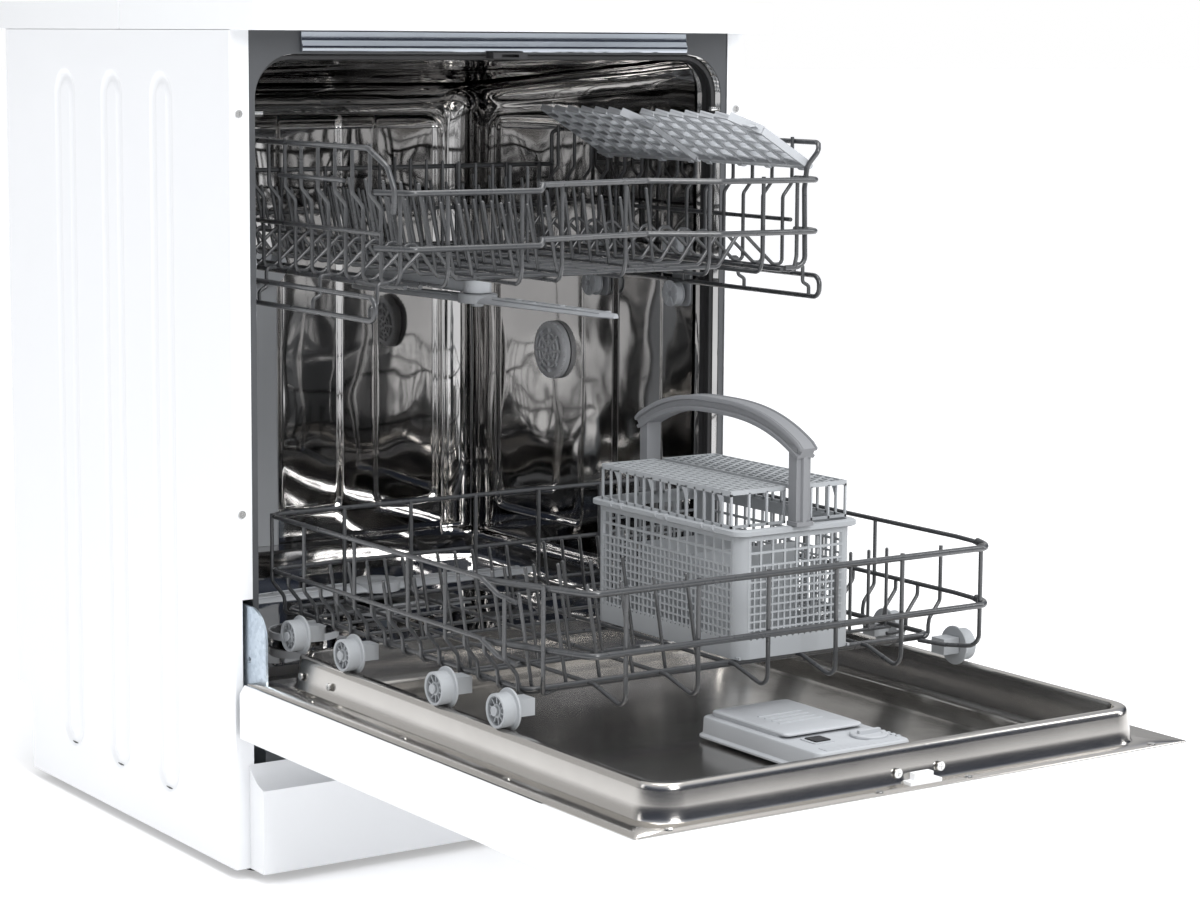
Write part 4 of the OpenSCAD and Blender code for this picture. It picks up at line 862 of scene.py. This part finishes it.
def carried_over():
    """CAD solids that keep their shape: each gets its finish, and softened edges of the width beside it."""
    for finish, bevels in (
            (ZINC, {"rear_panel": 0.4, "hinge_brackets": 0.5, "hinge_springs": 0.5, "hinge_arms": 0.5}),
            (BLACK_PLASTIC, {"base_tray": 0.8, "levelling_feet": 0.8, "latch_catch": 0.6, "cord_gland": 0.8,
                             "dispenser_button": 0.6}),
            (FRAME_PAINT, {"front_frame": 0.3}),
            (ENAMEL, {"kick_plate": 0.8, "door_outer_panel": 0.9}),
            (WHITE_PLASTIC, {"inlet_valve": 1.0, "control_panel": 1.6, "door_latch": 0.5}),
            (LIGHT_PLASTIC, {"water_softener": 2.0, "salt_cap": 0.8, "power_button": 0.8,
                             "programme_button": 0.8}),
            (MID_PLASTIC, {"roller_brackets": 0.5, "sump": 0.8, "filter_cup": 0.6}),
            (PUMP_PLASTIC, {"circulation_pump": 1.5, "drain_pump": 1.2}),
            (SCREW_METAL, {"cabinet_screws": 0.2, "door_screws": 0.25}),
            (LINER_STEEL, {"filter_plate": 0.2}),
            (BASKET_PLASTIC, {"wheel_clips": 0.8})):
        for name, bevel in bevels.items():
            finish_node(name, finish, bevel)


# Door

def liner_ring(inset, z, corner):
    """The liner's outline in plan at one height, drawn in from its outer wall."""
    half = LINER_X - inset
    outline = round_rect(-half, LINER_TIP_Y + inset, half, LINER_ROOT_Y - inset, corner, 10)
    return loop_at(outline, "z", z)


def dipped(point):
    """A point of the rim, which dips near the hinge, where the flanges of the lower rack's wheels pass."""
    x, y, z = point
    in_gap = y > LINER_ROOT_Y - 34 and WHEEL_X - 3 < abs(x) < WHEEL_X + 5.5
    return (x, y, min(z, RIM_Z - 4.2)) if in_gap else point


def liner():
    """Pressed steel inner door: flange, raised rim and sunken floor with sloping planes."""
    s = Shape()
    floor = LINER_FLOOR_Z
    rim = [(-3.5, DOOR_TOP, 35.5), (-1.2, DOOR_TOP + 0.6, 33.2), (-0.1, DOOR_TOP + 2.6, 32),
           (1.4, DOOR_TOP + 13, 30.5), (3.0, RIM_Z - 6, 29), (3.7, RIM_Z - 2.8, 28.4),
           (4.9, RIM_Z - 0.9, 27.3), (6.6, RIM_Z, 26), (12.4, RIM_Z, 22), (13.8, RIM_Z - 0.5, 21),
           (14.4, RIM_Z - 1.6, 20.5), (14.6, RIM_Z - 4.2, 20), (15.8, RIM_Z - 8, 20),
           (17.4, RIM_Z - 20, 21), (18.6, floor + 9, 22), (20.5, floor + 3.5, 24), (25.0, floor + 0.8, 28),
           (32.0, floor, 32)]
    s.skin([[dipped(p) for p in liner_ring(*step)] for step in rim], capped=False)
    planes = [(32.0, floor, 32), (60.0, floor - 0.6, 24), (64.0, floor - 1.2, 22), (70.0, floor - 2.4, 20),
              (120.0, floor - 3.0, 16)]
    s.dish([liner_ring(*step) for step in planes])
    # flange round the rim, out to the edges of the door
    edge = round_rect(-DOOR_X, DOOR_TIP_Y + 1.0, DOOR_X, -268.0, 3.0, 10)
    s.skin([loop_at(edge, "z", DOOR_TOP), liner_ring(-3.5, DOOR_TOP, 35.5)], capped=False)
    piece = s.piece("liner_skin", LINER_STEEL, "door", ["door_liner"], smooth=45, weld=0.05)
    sheet_metal(piece, (0, 0, 1), 0.9)


def dispenser():
    """Detergent and rinse-aid dispenser with its sliding lid, release button and cap."""
    x0, x1, y0, y1 = -29.0, 76.0, -806.0, -632.0
    floor = LINER_FLOOR_Z
    top = floor + 19
    s = Shape()
    s.skin([loop_at(round_rect(x0 - grow, y0 - grow, x1 + grow, y1 + grow, 9 + grow, 6), "z", z)
            for grow, z in ((3.0, floor + 0.1), (3.0, floor + 2.0), (1.0, floor + 3.0), (0.0, floor + 4.0),
                            (-0.6, top - 2.5), (-1.4, top - 0.8), (-3.0, top))])
    s.block((x0 + 12, y0 + 4, top - 1), (x1 - 12, y0 + 16, top + 0.6))
    bx, by = x0 + 30, y0 + 40
    button_rim, button_hole = (round_rect(bx - half, by - half, bx + half, by + half, corner, 4)
                               for half, corner in ((11.4, 3), (8.3, 1)))
    s.frame(button_rim, button_hole, "z", top - 1.5, top + 1.0)
    for i in range(5):
        s.block((x1 - 7.4, y0 + 14 + i * 7, top - 1), (x1 - 2.6, y0 + 17 + i * 7, top + 0.9))
    s.piece("dispenser_housing", LIGHT_PLASTIC, "door", ["dispenser_body"], bevel=0.3, smooth=35)
    lid = Shape()
    rings = []
    for inset, front, up in ((0.0, -741.0, 0.1), (0.0, -741.0, 2.3), (0.0, -750.0, 2.4), (0.0, -750.0, 3.6),
                             (0.8, -749.2, 4.6), (2.4, -747.6, 5.2)):
        outline = round_rect(-21 + inset, front, 66 - inset, -638 - inset, 6 - inset * 0.6, 6)
        rings.append(loop_at(outline, "z", top + up))
    lid.skin(rings)
    for y in spread(-716, -686, 4):
        lid.block((-2, y, top + 4.6), (46, y + 3, top + 5.9))
    lid.piece("dispenser_cover", LIGHT_PLASTIC, "dispenser_lid", ["dispenser_lid"], bevel=0.3, smooth=35)
    cap = Shape()
    profile = [(17, 0.1), (17, 2.2), (16.2, 3.0), (12.0, 3.1), (11.5, 2.4), (3.0, 2.4)]
    cx, cy = 50, -776
    cap.turned(profile, (cx, cy, top), "z", 40)
    cap.block((cx - 12, cy - 2, top + 2.2), (cx + 12, cy + 2, top + 6.0))
    cap.piece("rinse_aid_knob", LIGHT_PLASTIC, "rinse_aid_cap", ["rinse_aid_cap"], bevel=0.4, smooth=35)


# Racks

def lower_rack():
    """Lower rack: rails, cross wires, five of them with tall uprights, and rows of leaning tines."""
    s = Shape()
    x, front, rear = LOWER_X, LOWER_FRONT_Y, LOWER_REAR_Y
    top, mid, rail, floor = 345.0, 291.5, 254.6, 250.3
    tall_uprights = (3, 5, 8, 11, 13)
    # thin rails round the back and the sides, whose front ends dip below the thick front rails
    for z in (top, mid):
        s.wire([(-x + 8, -650, z - 13), (-x + 3, -630, z - 9), (-x, -606, z + 3), (-x, rear, z + 3),
                (x, rear, z + 3), (x, -664, z + 3), (x + 0.5, -688, z + 2), (x + 0.5, -702, z - 1)], 2.3, 14)
        s.wire([(-238, -598, z), (-234.5, -616, z), (-198, front, z), (238, front, z),
                (x + 1.5, -703, z + 1), (x + 1, -692, z + 3)], 3.0, 11, sides=10)
    runner = [(-225.4, rear - 3), (-225.4, -650), (225.4, -650), (225.4, rear - 3)]
    s.wire(loop_at(runner, "z", rail), 2.5, 12, closed=True)
    for i, y in enumerate(spread(-643.0, rear - 6, 14)):
        side_top = top + 5.2 if i in tall_uprights else mid + 5.0
        if i == 0:
            side_top = top - 8.6
        half = [(x - 0.4, side_top), (x - 0.4, 284), (x - 13, 268), (x - 14.2, 261), (x - 14.2, floor)]
        if i % 3:
            for side in (-1, 1):
                s.wire([(side * a, y, z) for a, z in half + [(206, floor)]], 1.9, 8)
        else:
            s.wire(loop_at(across(half), "y", y), 1.9, 8)
    for wx in (-162, -86, -10, 66, 142):
        along = [(front + 4.4, top + 3), (front + 4.4, 241), (front + 52, floor + 4), (rear - 10, floor + 4),
                 (rear - 3.8, 262), (rear - 3.8, top + 3)]
        s.wire(loop_at(along, "x", wx), 2.1, 10)
    s.wire([(-220, -668, top + 3), (-220, -668, 268), (-212, -655, floor), (-186, -640, floor)], 2.1, 10)
    s.wire([(236, front + 4.4, top + 3), (236, front + 4.4, 252), (222, -676, floor - 1), (212, -650, floor)],
           2.1, 12)
    for x0, x1, y, tall, count, lean in (
            (-218, -14, -302, 60, 11, 9), (-218, -14, -403, 60, 7, 9), (-218, -36, -543, 88, 6, 9),
            (-218, -36, -643, 88, 6, 9), (22, 222, -302, 60, 10, 7), (22, 222, -403, 60, 7, 7),
            (150, 222, -494, 78, 4, 0), (150, 222, -593, 78, 4, 0)):
        tines_across(s, x0, x1, y, floor + 2, tall, count, lean)
    s.piece("lower_rack_wires", WIRE_COAT, "lower_rack", ["lower_rack"], smooth=60)


def tines_across(s, x0, x1, y, z, tall, count, lean):
    """A wire along X with upright tines on it; lean is their slope in degrees towards -X."""
    s.wire([(x0 - 3, y, z), (x1 + 3, y, z)], 1.8)
    slope = math.tan(math.radians(lean))
    for x in spread(x0 + 3, x1 - 3, count):
        s.wire([(x, y, z), (x - slope * tall, y, z + tall - 1)], 1.7, tip=True)


def tines_along(s, x, ys, base, tall, lean):
    """A wire along Y with an upright tine at each of ys; lean is their slope in degrees towards X."""
    s.wire([(x, min(ys) - 4, base - 2), (x, max(ys) + 4, base - 2)], 1.7)
    slope = math.tan(math.radians(lean))
    for y in ys:
        s.wire([(x, y, base - 2), (x + slope * tall, y, base + tall)], 1.75, 4, tip=True)


def wheels(number, y):
    """A pair of spoked wheels with an inner flange."""
    s = Shape()
    at = (WHEEL_X, y, WHEEL_Z)
    tread = [(12.4, 15.4), (14.4, 16.0), (15.0, 15.4), (15.0, 3.4), (15.6, 3.0), (18.2, 2.6), (18.5, 2.0),
             (18.5, 0.8), (18.0, 0.2), (3.1, 0.2), (3.1, 4.0), (12.4, 4.6)]
    hub = [(3.1, 1.0), (3.1, 14.2), (4.2, 14.6), (6.0, 14.2), (6.4, 13.0), (6.8, 3.0)]
    s.turned(tread, at, "x", 44, closed=True)
    s.turned(hub, at, "x", 28, closed=True)
    s.spokes((3.0, 5.8, -0.7), (13.4, 13.0, 0.7), 10, at, 9 * number)
    s.mirrored()
    s.piece(f"spoked_wheels_{number}", BASKET_PLASTIC, f"wheels_{number}", [f"wheels_{number}"], bevel=0.3,
            smooth=35)


def upper_rack():
    """Upper rack: high stepped sides, bowed front rails in two halves, ridged cross wires and tines."""
    s = Shape()
    rear, floor = UPPER_REAR_Y, UPPER_FLOOR_Z
    ys = [14.3 - UPPER_PITCH * i for i in range(14)]
    # each cross wire has a ridge near each side and an outward step in its sides
    half = [(240.6, 713.5), (240.6, 668), (229.5, 655), (229.5, floor), (218.5, floor), (183, floor + 31),
            (174, floor + 31), (150, floor)]
    for y in ys:
        s.wire(loop_at(across(half), "y", y), 1.9, 7)
    # high side rails, which come down at the front
    s.wire([(-245.2, rear, 710), (-245.2, -414, 710), (-240, -440, 694), (-236.4, -446.5, 673),
            (-236, -444, 652)], 2.6, 15)
    s.wire([(245.2, rear, 709), (245.2, -455, 709), (235, -441, 686), (232, -441, 664), (230, -446, floor),
            (210, -440, floor - 1)], 2.6, 16)
    s.wire([(-246.4, -246, 679), (-246.4, -372, 679)], 2.1)
    for side in (-1, 1):
        s.wire([(side * 233.4, rear, 632), (side * 233.4, -418, 632)], 2.2)
        for x in (206.0, 222.0):
            s.wire([(side * x, -440, floor - 2.8), (side * x, rear - 4, floor - 2.8)], 2.3)
        s.wire([(side * 238, rear, 625), (side * 238, rear, 706), (side * 245, rear - 8, 709)], 2.2, 6)
    # thick front rails in two halves; the right half lies a little higher and further back
    for z in (670.0, 619.5):
        s.wire([(-238, -414, z), (-219, -448, z), (-88, -459, z), (-84, -455, z + 5)], 2.9, 9, sides=10)
        s.wire([(-86, -452, z + 5), (50, -430, z + 5), (118, -458.5, z + 4), (236, -455.5, z + 3),
                (243.5, -436, z + 3), (238, -418, z + 3)], 2.9, 9, sides=10)
    for x, y, top in ((-222, -436, 670), (-179, -448, 670), (-103, -454, 670), (-51, -442, 675),
                      (29, -430, 675), (112, -452, 674), (176, -453, 674), (219, -451, 673)):
        along = [(y + 4.6, top + 3), (y + 4.6, 598), (y + 9, floor - 4), (rear - 3, floor - 4),
                 (rear - 3.6, 673)]
        s.wire(loop_at(along, "x", x), 2.0, 10)
    for z, radius in ((670, 2.5), (625, 2.2)):
        s.wire([(-238, rear, z), (238, rear, z)], radius)
    # rows of tines along the rack: base wire, height, lean and number of tines
    for x, base, tall, lean, count in (
            (-178.5, 30, 60, -11, 14), (-132, 4, 66, -13, 14), (-86, 4, 66, -13, 14), (-38, 4, 62, -12, 14),
            (12, 4, 92, 0, 10), (66, 4, 66, -9, 13), (118, 4, 72, -7, 12)):
        tines_along(s, x, ys[:count], floor + base, tall, lean)
    s.piece("upper_rack_wires", WIRE_COAT, "upper_rack", ["upper_rack"], smooth=60)


def rack_runners():
    """Wire loops along both sides of the upper rack that run between the rollers."""
    s = Shape()
    x, front, rear, low, high = 253.2, -440.0, 16.0, 555.5, 576.6
    s.wire([(x, front, low), (x, rear, low), (x, rear, high), (x, front, high)], 2.5, 9, closed=True)
    post = [(x - 2.4, 557), (x - 2.4, 566), (243, 570), (243, 588.2), (232, 588.2)]
    for y in spread(front + 14, rear - 14, 5):
        s.wire(loop_at(post, "y", y), 1.9, 4)
    s.mirrored().piece("rack_runner_wires", WIRE_COAT, "upper_rack", ["upper_rack_runners"], smooth=60)


def spray_feed():
    """Pipe under the upper rack that feeds its spray arm."""
    s = Shape()
    s.tube([(FEED_X, y, FEED_Z) for y in (SPRAY_Y - 6, -150, -60, 0)], 8.6, 20)
    collar = [(8.6, 0), (9.0, 1.0), (9.0, 9.0), (7.5, 9.6), (7.5, 0)]
    s.turned(collar, (FEED_X, -4, FEED_Z), "y", 24, closed=True)
    hub = [(6.0, -21), (6.0, -7.5), (14.0, -7.2), (14.0, 6.0), (12.0, 8.0), (12.0, 22.8)]
    s.turned(hub, (FEED_X, SPRAY_Y, FEED_Z), "z", 28)
    s.block((FEED_X - 3, -41, FEED_Z), (FEED_X + 3, -31, 584.8))
    s.piece("spray_pipe", LIGHT_PLASTIC, "upper_rack", ["upper_spray_feed"], bevel=0.5)


def cup_shelf(name, y0):
    """Folding cup shelf: louvred slats with slanted slots, stepped like tiles, on a hinge rod and clips."""
    s = Shape()
    length, width = 178.0, 96.0
    columns, rows = 7, 5
    pitch_y, pitch_x = length / columns, (width - 12) / rows

    def plate(corners, thick):
        """A slanted plate over four corners."""
        s.skin([corners, [(x, y, z + thick) for x, y, z in corners]])

    for j in range(columns):
        ya, yb = j * pitch_y, (j + 1) * pitch_y
        cut = 0.0 if j else 26.0
        # each column is a strip that rises towards its rear edge, over the next one
        for i in range(rows + 1 if j else rows):
            xa = 9 + i * pitch_x
            plate([(xa - 2.4, ya + 0.4, -1.2), (xa + 2.4, ya + 0.4, -1.2), (xa + 2.4, yb - 0.2, 3.0),
                   (xa - 2.4, yb - 0.2, 3.0)], 1.9)
            if i < rows:
                plate([(xa + 2.2, ya + 1.0, -1.4), (xa + 8.0, ya + 1.0, -5.4), (xa + 8.0, yb - 2.0, -2.0),
                       (xa + 2.2, yb - 2.0, 2.4)], 1.4)
        reach = width - 1.0 - cut
        s.block((6.6, yb - 2.2, -1.5), (reach - 0.2, yb - 0.1, 5.1))
        if j:
            s.block((6.6, ya + 0.1, -3.4), (reach - 0.2, ya + 1.8, 1.4))
        # the outer ends step down like the edges of tiles
        step = [(ya, -3.6), (yb, -1.0), (yb, 5.2), (ya, 1.6)]
        s.slab(step, "x", reach - 3, reach)
    s.strip((width - 27.5, 1.2), (width - 2.0, pitch_y + 1.2), 1.6, -4.0, 4.6)
    s.block((4.0, 0.1, -4.0), (7.6, length - 0.2, 3.4))
    s.block((6.0, -0.8, -4.2), (width - 27.4, 2.4, 3.6))
    s.tube([(0, 0, 0), (0, length, 0)], 3.2, 16)
    for ya in (8.0, 62.0, 108.0, 162.0):
        s.block((-1.5, ya, -3.4), (5.5, ya + 8, 2.6))
        s.turned([(3.3, 0), (5.0, 0), (5.0, 8), (3.3, 8)], (0, ya, 0), "y", 20, closed=True)
    hinge = Matrix.Translation((SHELF_HINGE_X, y0, SHELF_HINGE_Z)) @ Matrix.Rotation(SHELF_ANGLE, 4, "Y")
    s.flipped().moved(hinge).piece(name + "_slats", LIGHT_PLASTIC, name, [name], bevel=0.3, smooth=35)


# Cutlery basket

BOX_FACES = [(0, 1, 2, 3), (7, 6, 5, 4), (0, 4, 5, 1), (1, 5, 6, 2), (2, 6, 7, 3), (3, 7, 4, 0)]


def lattice(s, at, foot, wide, tall, columns, rows, bar, first_row=0):
    """A pierced wall. at(u, v, d) gives the point at u across, v up and d out of its face."""
    thick, set_back = 2.0, 0.15
    for i in range(columns + 1):
        u = -wide / 2 + wide * i / columns
        s.add([at(u + a * bar / 2, v, d) for v in (foot, foot + tall)
               for a, d in ((-1, 0), (1, 0), (1, thick), (-1, thick))], BOX_FACES)
    low, high = set_back, thick - set_back
    for j in range(first_row, rows + 1):
        v = foot + tall * j / rows
        s.add([at(u, v + a * bar / 2, d) for u in (-wide / 2, wide / 2)
               for a, d in ((-1, low), (1, low), (1, high), (-1, high))], BOX_FACES)


def basket_wall(s, axis, side):
    """One wall of the basket: a band, a fine lattice, tall windows and a scalloped foot band."""
    half, out = (BASKET_HALF_W, BASKET_HALF_L) if axis == "x" else (BASKET_HALF_L, BASKET_HALF_W)
    inset = 0.05
    thick = 2.0
    wide = 2 * half - 22
    end = half - 12.4
    count = 2 * round(wide / 13.8)

    def at(u, v, d):
        level = side * (out - d)
        x, y = (u, level) if axis == "x" else (level, u)
        return BASKET_X + x, BASKET_Y + y, BASKET_Z + v

    lattice(s, at, 19, wide, 65.0, count, 9, 1.7)
    lattice(s, at, 84, wide, 24.0, count // 2, 2, 2.2, first_row=1)
    foot = [(-end, 0.0), (end, 0.0)]
    for u in spread(end, -end, 4 * count + 1):
        foot.append((u, 18.6 + 2.2 * math.cos(u * 2 * math.pi * count / wide)))
    band = [(-end, 107), (end, 107), (end, 114), (-end, 114)]
    for outline in (foot, band):
        s.skin([[at(u, v, d) for u, v in outline] for d in (inset, thick - inset)])


def basket_post(s, sx, sy):
    """A round corner post of the basket."""
    post = [(BASKET_HALF_W - 13 * (1 - math.sin(a)), BASKET_HALF_L - 13 * (1 - math.cos(a)))
            for a in spread(0, math.pi / 2, 11)]
    inside = [(x - 2.0, y - 2.0) for x, y in reversed(post)]
    s.slab([(BASKET_X + sx * x, BASKET_Y + sy * y) for x, y in post + inside], "z", BASKET_Z, RIM_TOP_Z - 3)


def basket():
    """Cutlery basket: corner posts, rim, pierced walls, two partitions and a floor of bars."""
    s = Shape()
    x0, x1 = BASKET_X - BASKET_HALF_W, BASKET_X + BASKET_HALF_W
    y0, y1 = BASKET_Y - BASKET_HALF_L, BASKET_Y + BASKET_HALF_L
    for side in (-1, 1):
        for axis in ("x", "y"):
            basket_wall(s, axis, side)
        for sy in (-1, 1):
            basket_post(s, side, sy)
        # pairs of clips on the rim that hold the lid's hinges
        for start in (-83.0, -66.0, -10.0, 7.0, 63.0, 80.0):
            clip = [(BASKET_X + side * 69.4, BASKET_Y + start + y, RIM_TOP_Z - 1.4) for y in (0, 3)]
            s.tube(clip, 2.8, 10)
        wall_y = BASKET_Y + side * 38.3
        s.block((x0 + 2, wall_y, BASKET_Z + 2), (x1 - 2, wall_y + 1.6, BASKET_Z + 86))
    outer, lip, inner = (round_rect(x0 - grow, y0 - grow, x1 + grow, y1 + grow, corner)
                         for grow, corner in ((5, 12), (3, 11), (-2.2, 8)))
    rim = ((outer, -5), (outer, -1), (lip, 0), (inner, 0), (inner, -4), (lip, -6))
    s.skin([loop_at(loop, "z", RIM_TOP_Z + up) for loop, up in rim], closed=True)
    for x in spread(x0 + 3, x1 - 3, 13):
        s.block((x - 1.3, y0 + 1, BASKET_Z), (x + 1.3, y1 - 1, BASKET_Z + 2.4))
    for y in spread(y0 + 4, y1 - 4, 24):
        s.block((x0 + 1, y - 1.3, BASKET_Z + 0.2), (x1 - 1, y + 1.3, BASKET_Z + 2.2))
    s.piece("basket_lattice", BASKET_PLASTIC, "cutlery_basket", ["cutlery_basket"], smooth=35)


def basket_handle():
    """Arched handle with a grooved section, on two channel-shaped uprights."""
    s = Shape()
    base = RIM_TOP_Z + 0.1
    top = base + 105
    reach = 128.0
    last = 40
    half = [(6.2, 0.92), (7.4, 0.7), (8.6, 1.0), (9.2, 1.0), (9.8, 0.8), (9.8, 0.45), (7.2, 0.35),
            (7.2, -0.35), (9.8, -0.45), (9.8, -0.8), (9.2, -1.0), (6.0, -0.9)]
    line = [(t * reach, top - 8.5 - 30 * abs(t) ** 2.6) for t in spread(-1.0, 1.0, last + 1)]
    rings = []
    for i, (y, z) in enumerate(line):
        along = (Vector(line[min(i + 1, last)]) - Vector(line[max(i - 1, 0)])).normalized()
        tall = 7.5 if abs(y) < 0.96 * reach else 6.0
        rings.append([(BASKET_X + u, BASKET_Y + y - along.y * v * tall, z + along.x * v * tall)
                      for u, v in across(half)])
    s.skin(rings)
    for side in (-1, 1):
        y0, y1 = side * 111.0, side * 126.0
        step = y1 - 3 * side
        section = [(-8, y0), (8, y0), (8, step), (3.4, step), (2.4, y1), (-2.4, y1), (-3.4, step), (-8, step)]
        s.slab([(BASKET_X + u, BASKET_Y + v) for u, v in section], "z", base, top - 32)
        low, high = BASKET_Y + min(y0, y1) - 0.5, BASKET_Y + max(y0, y1)
        s.block((BASKET_X - 9.5, low, base), (BASKET_X + 9.5, high, base + 4))
    s.piece("basket_arch_handle", HANDLE_PLASTIC, "cutlery_basket", ["basket_handle"], bevel=0.5)


def basket_lid(name, side):
    """Half of the lid: a grid of slanted cells on thin bars and arched brackets, hinged along the rim."""
    s = Shape()
    x0, x1, y = 4.5, 66.0, 103.0
    z = RIM_TOP_Z + 0.1
    top = z + LID_H
    rows, columns = 7, 17
    xs = spread(x0 + 1, x1 - 1, rows + 1)
    for xa in xs[:-1]:
        s.strip((xa, -y + 2), (xa, y - 2), 1.1, top - 4, top - 0.1)
    for column in spread(-y + 2, y - 8, columns):
        for i in range(rows):
            ya = column + (6.0 if i % 2 else 0.0)
            if ya < y - 5:
                s.strip((xs[i], ya), (xs[i + 1], ya + 4.5), 1.0, top - 4, top)
    for end in (-y + 1, y - 1):
        for low, high in ((top - 4, top), (z, z + 2.4)):
            s.strip((x0, end), (x1 - 2, end), 1.0, low, high)
        for xa in spread(x0 + 1, x1 - 1, 4)[:-1]:
            s.block((xa - 1, end - 1, z), (xa + 1, end + 1, top - 3))
    for i, ya in enumerate(spread(-y + 1, y - 1, 16)):
        s.block((x1 - 2, ya - 1, z), (x1, ya + 1, top - 3))
        if i % 4 == 1:
            # an arched bracket from the bar up under the grid
            bracket = [(ya + 1 + 9 * math.sin(a), top - 4 - 12 * (1 - math.sin(a)) ** 2)
                       for a in spread(0.0, math.pi / 2, 7)]
            s.slab(bracket + [(ya + 1, top - 4)], "x", x1 - 2, x1)
    for low, high in ((z, z + 2.4), (top - 5, top)):
        s.strip((x1 - 1, -y), (x1 - 1, y), 1.0, low, high)
    if side < 0:
        s.flipped()
    s.moved(Matrix.Translation((BASKET_X, BASKET_Y, 0)))
    s.piece(name + "_grid", BASKET_PLASTIC, name, [name], smooth=35)


# Room, lights and camera

def softbox(name, at, aim, size, power):
    """A rectangular soft light aimed at a point; its size is in metres and its power in watts."""
    light = bpy.data.lights.new(name, "AREA")
    light.shape = "RECTANGLE"
    light.size, light.size_y = size
    light.energy = power
    lamp = bpy.data.objects.new(name, light)
    bpy.context.scene.collection.objects.link(lamp)
    lamp.location = place(at)
    lamp.rotation_euler = (place(aim) - place(at)).to_track_quat("-Z", "Y").to_euler()


def studio():
    """Plain pale floor and large soft lights."""
    obj = Shape().block((-60000, -60000, -20), (60000, 60000, 0)).to_object("floor")
    f = Finish("pale_floor", None, Roughness=0.7, Specular_IOR_Level=0.2, Emission_Color=(1.0, 1.0, 1.0, 1.0),
               Emission_Strength=0.36)
    f.feed("Base Color", f.between(f.noise(0.7, 2.0), (0.93, 0.93, 0.935), (0.91, 0.91, 0.915)))
    obj.data.materials.append(f.material)
    softbox("key", (-300, -3000, 1900), (0, -300, 450), (0.9, 1.6), 60)
    softbox("fill", (2400, -1900, 1500), (0, -300, 400), (0.5, 1.8), 18)
    softbox("side", (-3000, 300, 1500), (0, 0, 400), (0.5, 1.5), 5)
    softbox("top", (0, -700, 3000), (0, -300, 400), (2.2, 1.2), 42)


def dome():
    """White behind the machine, soft light from all round, and a dark room in the reflections."""
    world = bpy.data.worlds.new("soft_dome")
    bpy.context.scene.world = world
    sky = Nodes(world)
    rays = sky.node("ShaderNodeLightPath")
    axes = sky.node("ShaderNodeSeparateXYZ", None, {0: sky.node("ShaderNodeTexCoord")["Generated"]})
    stops = ((0.0, (0.30, 0.29, 0.28)), (0.03, (0.05, 0.055, 0.07)), (0.30, (0.035, 0.045, 0.07)),
             (0.52, (0.40, 0.43, 0.50)), (0.8, (0.95, 0.95, 0.95)))
    room = sky.node("ShaderNodeValToRGB", {"stops": stops}, {0: axes["Z"]})["Color"]
    behind = sky.node("ShaderNodeMapRange", {"interpolation_type": "SMOOTHSTEP"},
                      {"Value": axes["Y"], "From Min": 0.3, "From Max": 0.75})["Result"]
    reflected = sky.between(behind, room, (0.62, 0.62, 0.62))
    lit = sky.between(rays["Is Glossy Ray"], (0.72, 0.73, 0.75), reflected)
    seen = sky.between(rays["Is Camera Ray"], lit, (1.0, 1.0, 1.0))
    sky.tree.links.new(seen.socket, sky.tree.nodes["Background"].inputs["Color"])


def camera():
    """The photograph's viewing angle, from a fit on the machine's real width and height."""
    at = (-1559.95, -2730.08, 810.31)
    yaw, pitch, roll = (math.radians(angle) for angle in (34.11, 6.97, 0.37))
    focal_pixels, photo_pixels, sensor = 2941.8, 1200, 36.0
    forward = Vector((math.sin(yaw) * math.cos(pitch), math.cos(yaw) * math.cos(pitch), -math.sin(pitch)))
    right = Vector((math.cos(yaw), -math.sin(yaw), 0))
    up = right.cross(forward)
    tilted_right = right * math.cos(roll) + up * math.sin(roll)
    tilted_up = up * math.cos(roll) - right * math.sin(roll)
    lens = bpy.data.cameras.new("camera")
    lens.sensor_width = sensor
    lens.lens = focal_pixels / photo_pixels * sensor
    lens.shift_y = -0.05
    lens.clip_start = 0.05
    view = bpy.data.objects.new("camera", lens)
    bpy.context.scene.collection.objects.link(view)
    turn = Matrix((tilted_right, tilted_up, -forward)).transposed().to_4x4()
    view.matrix_world = Matrix.Translation(place(at)) @ turn
    bpy.context.scene.camera = view


camera()
studio()
dome()
worktop()
top_crossbar()
for side in ("left", "right"):
    side_panel(side)
tub()
seal()
vent()
duct()
for level in ROLLER_ZS:
    for end in ROLLER_YS:
        rollers(end, level)
spray_arm("lower", LIGHT_PLASTIC, (0, 3, 215.7), (400, 34, 9), 26, 0.0)
spray_arm("upper", MID_PLASTIC, (FEED_X, SPRAY_Y, 545.0), (430, 26, 7), 20, math.radians(-84))
carried_over()
liner()
dispenser()
lower_rack()
for number, y in enumerate(WHEEL_YS, 1):
    wheels(number, y)
upper_rack()
rack_runners()
spray_feed()
cup_shelf("cup_shelf_front", -440.0)
cup_shelf("cup_shelf_rear", -254.0)
basket()
basket_handle()
basket_lid("basket_lid_left", -1)
basket_lid("basket_lid_right", 1)

bpy.context.scene.view_settings.view_transform = "Standard"
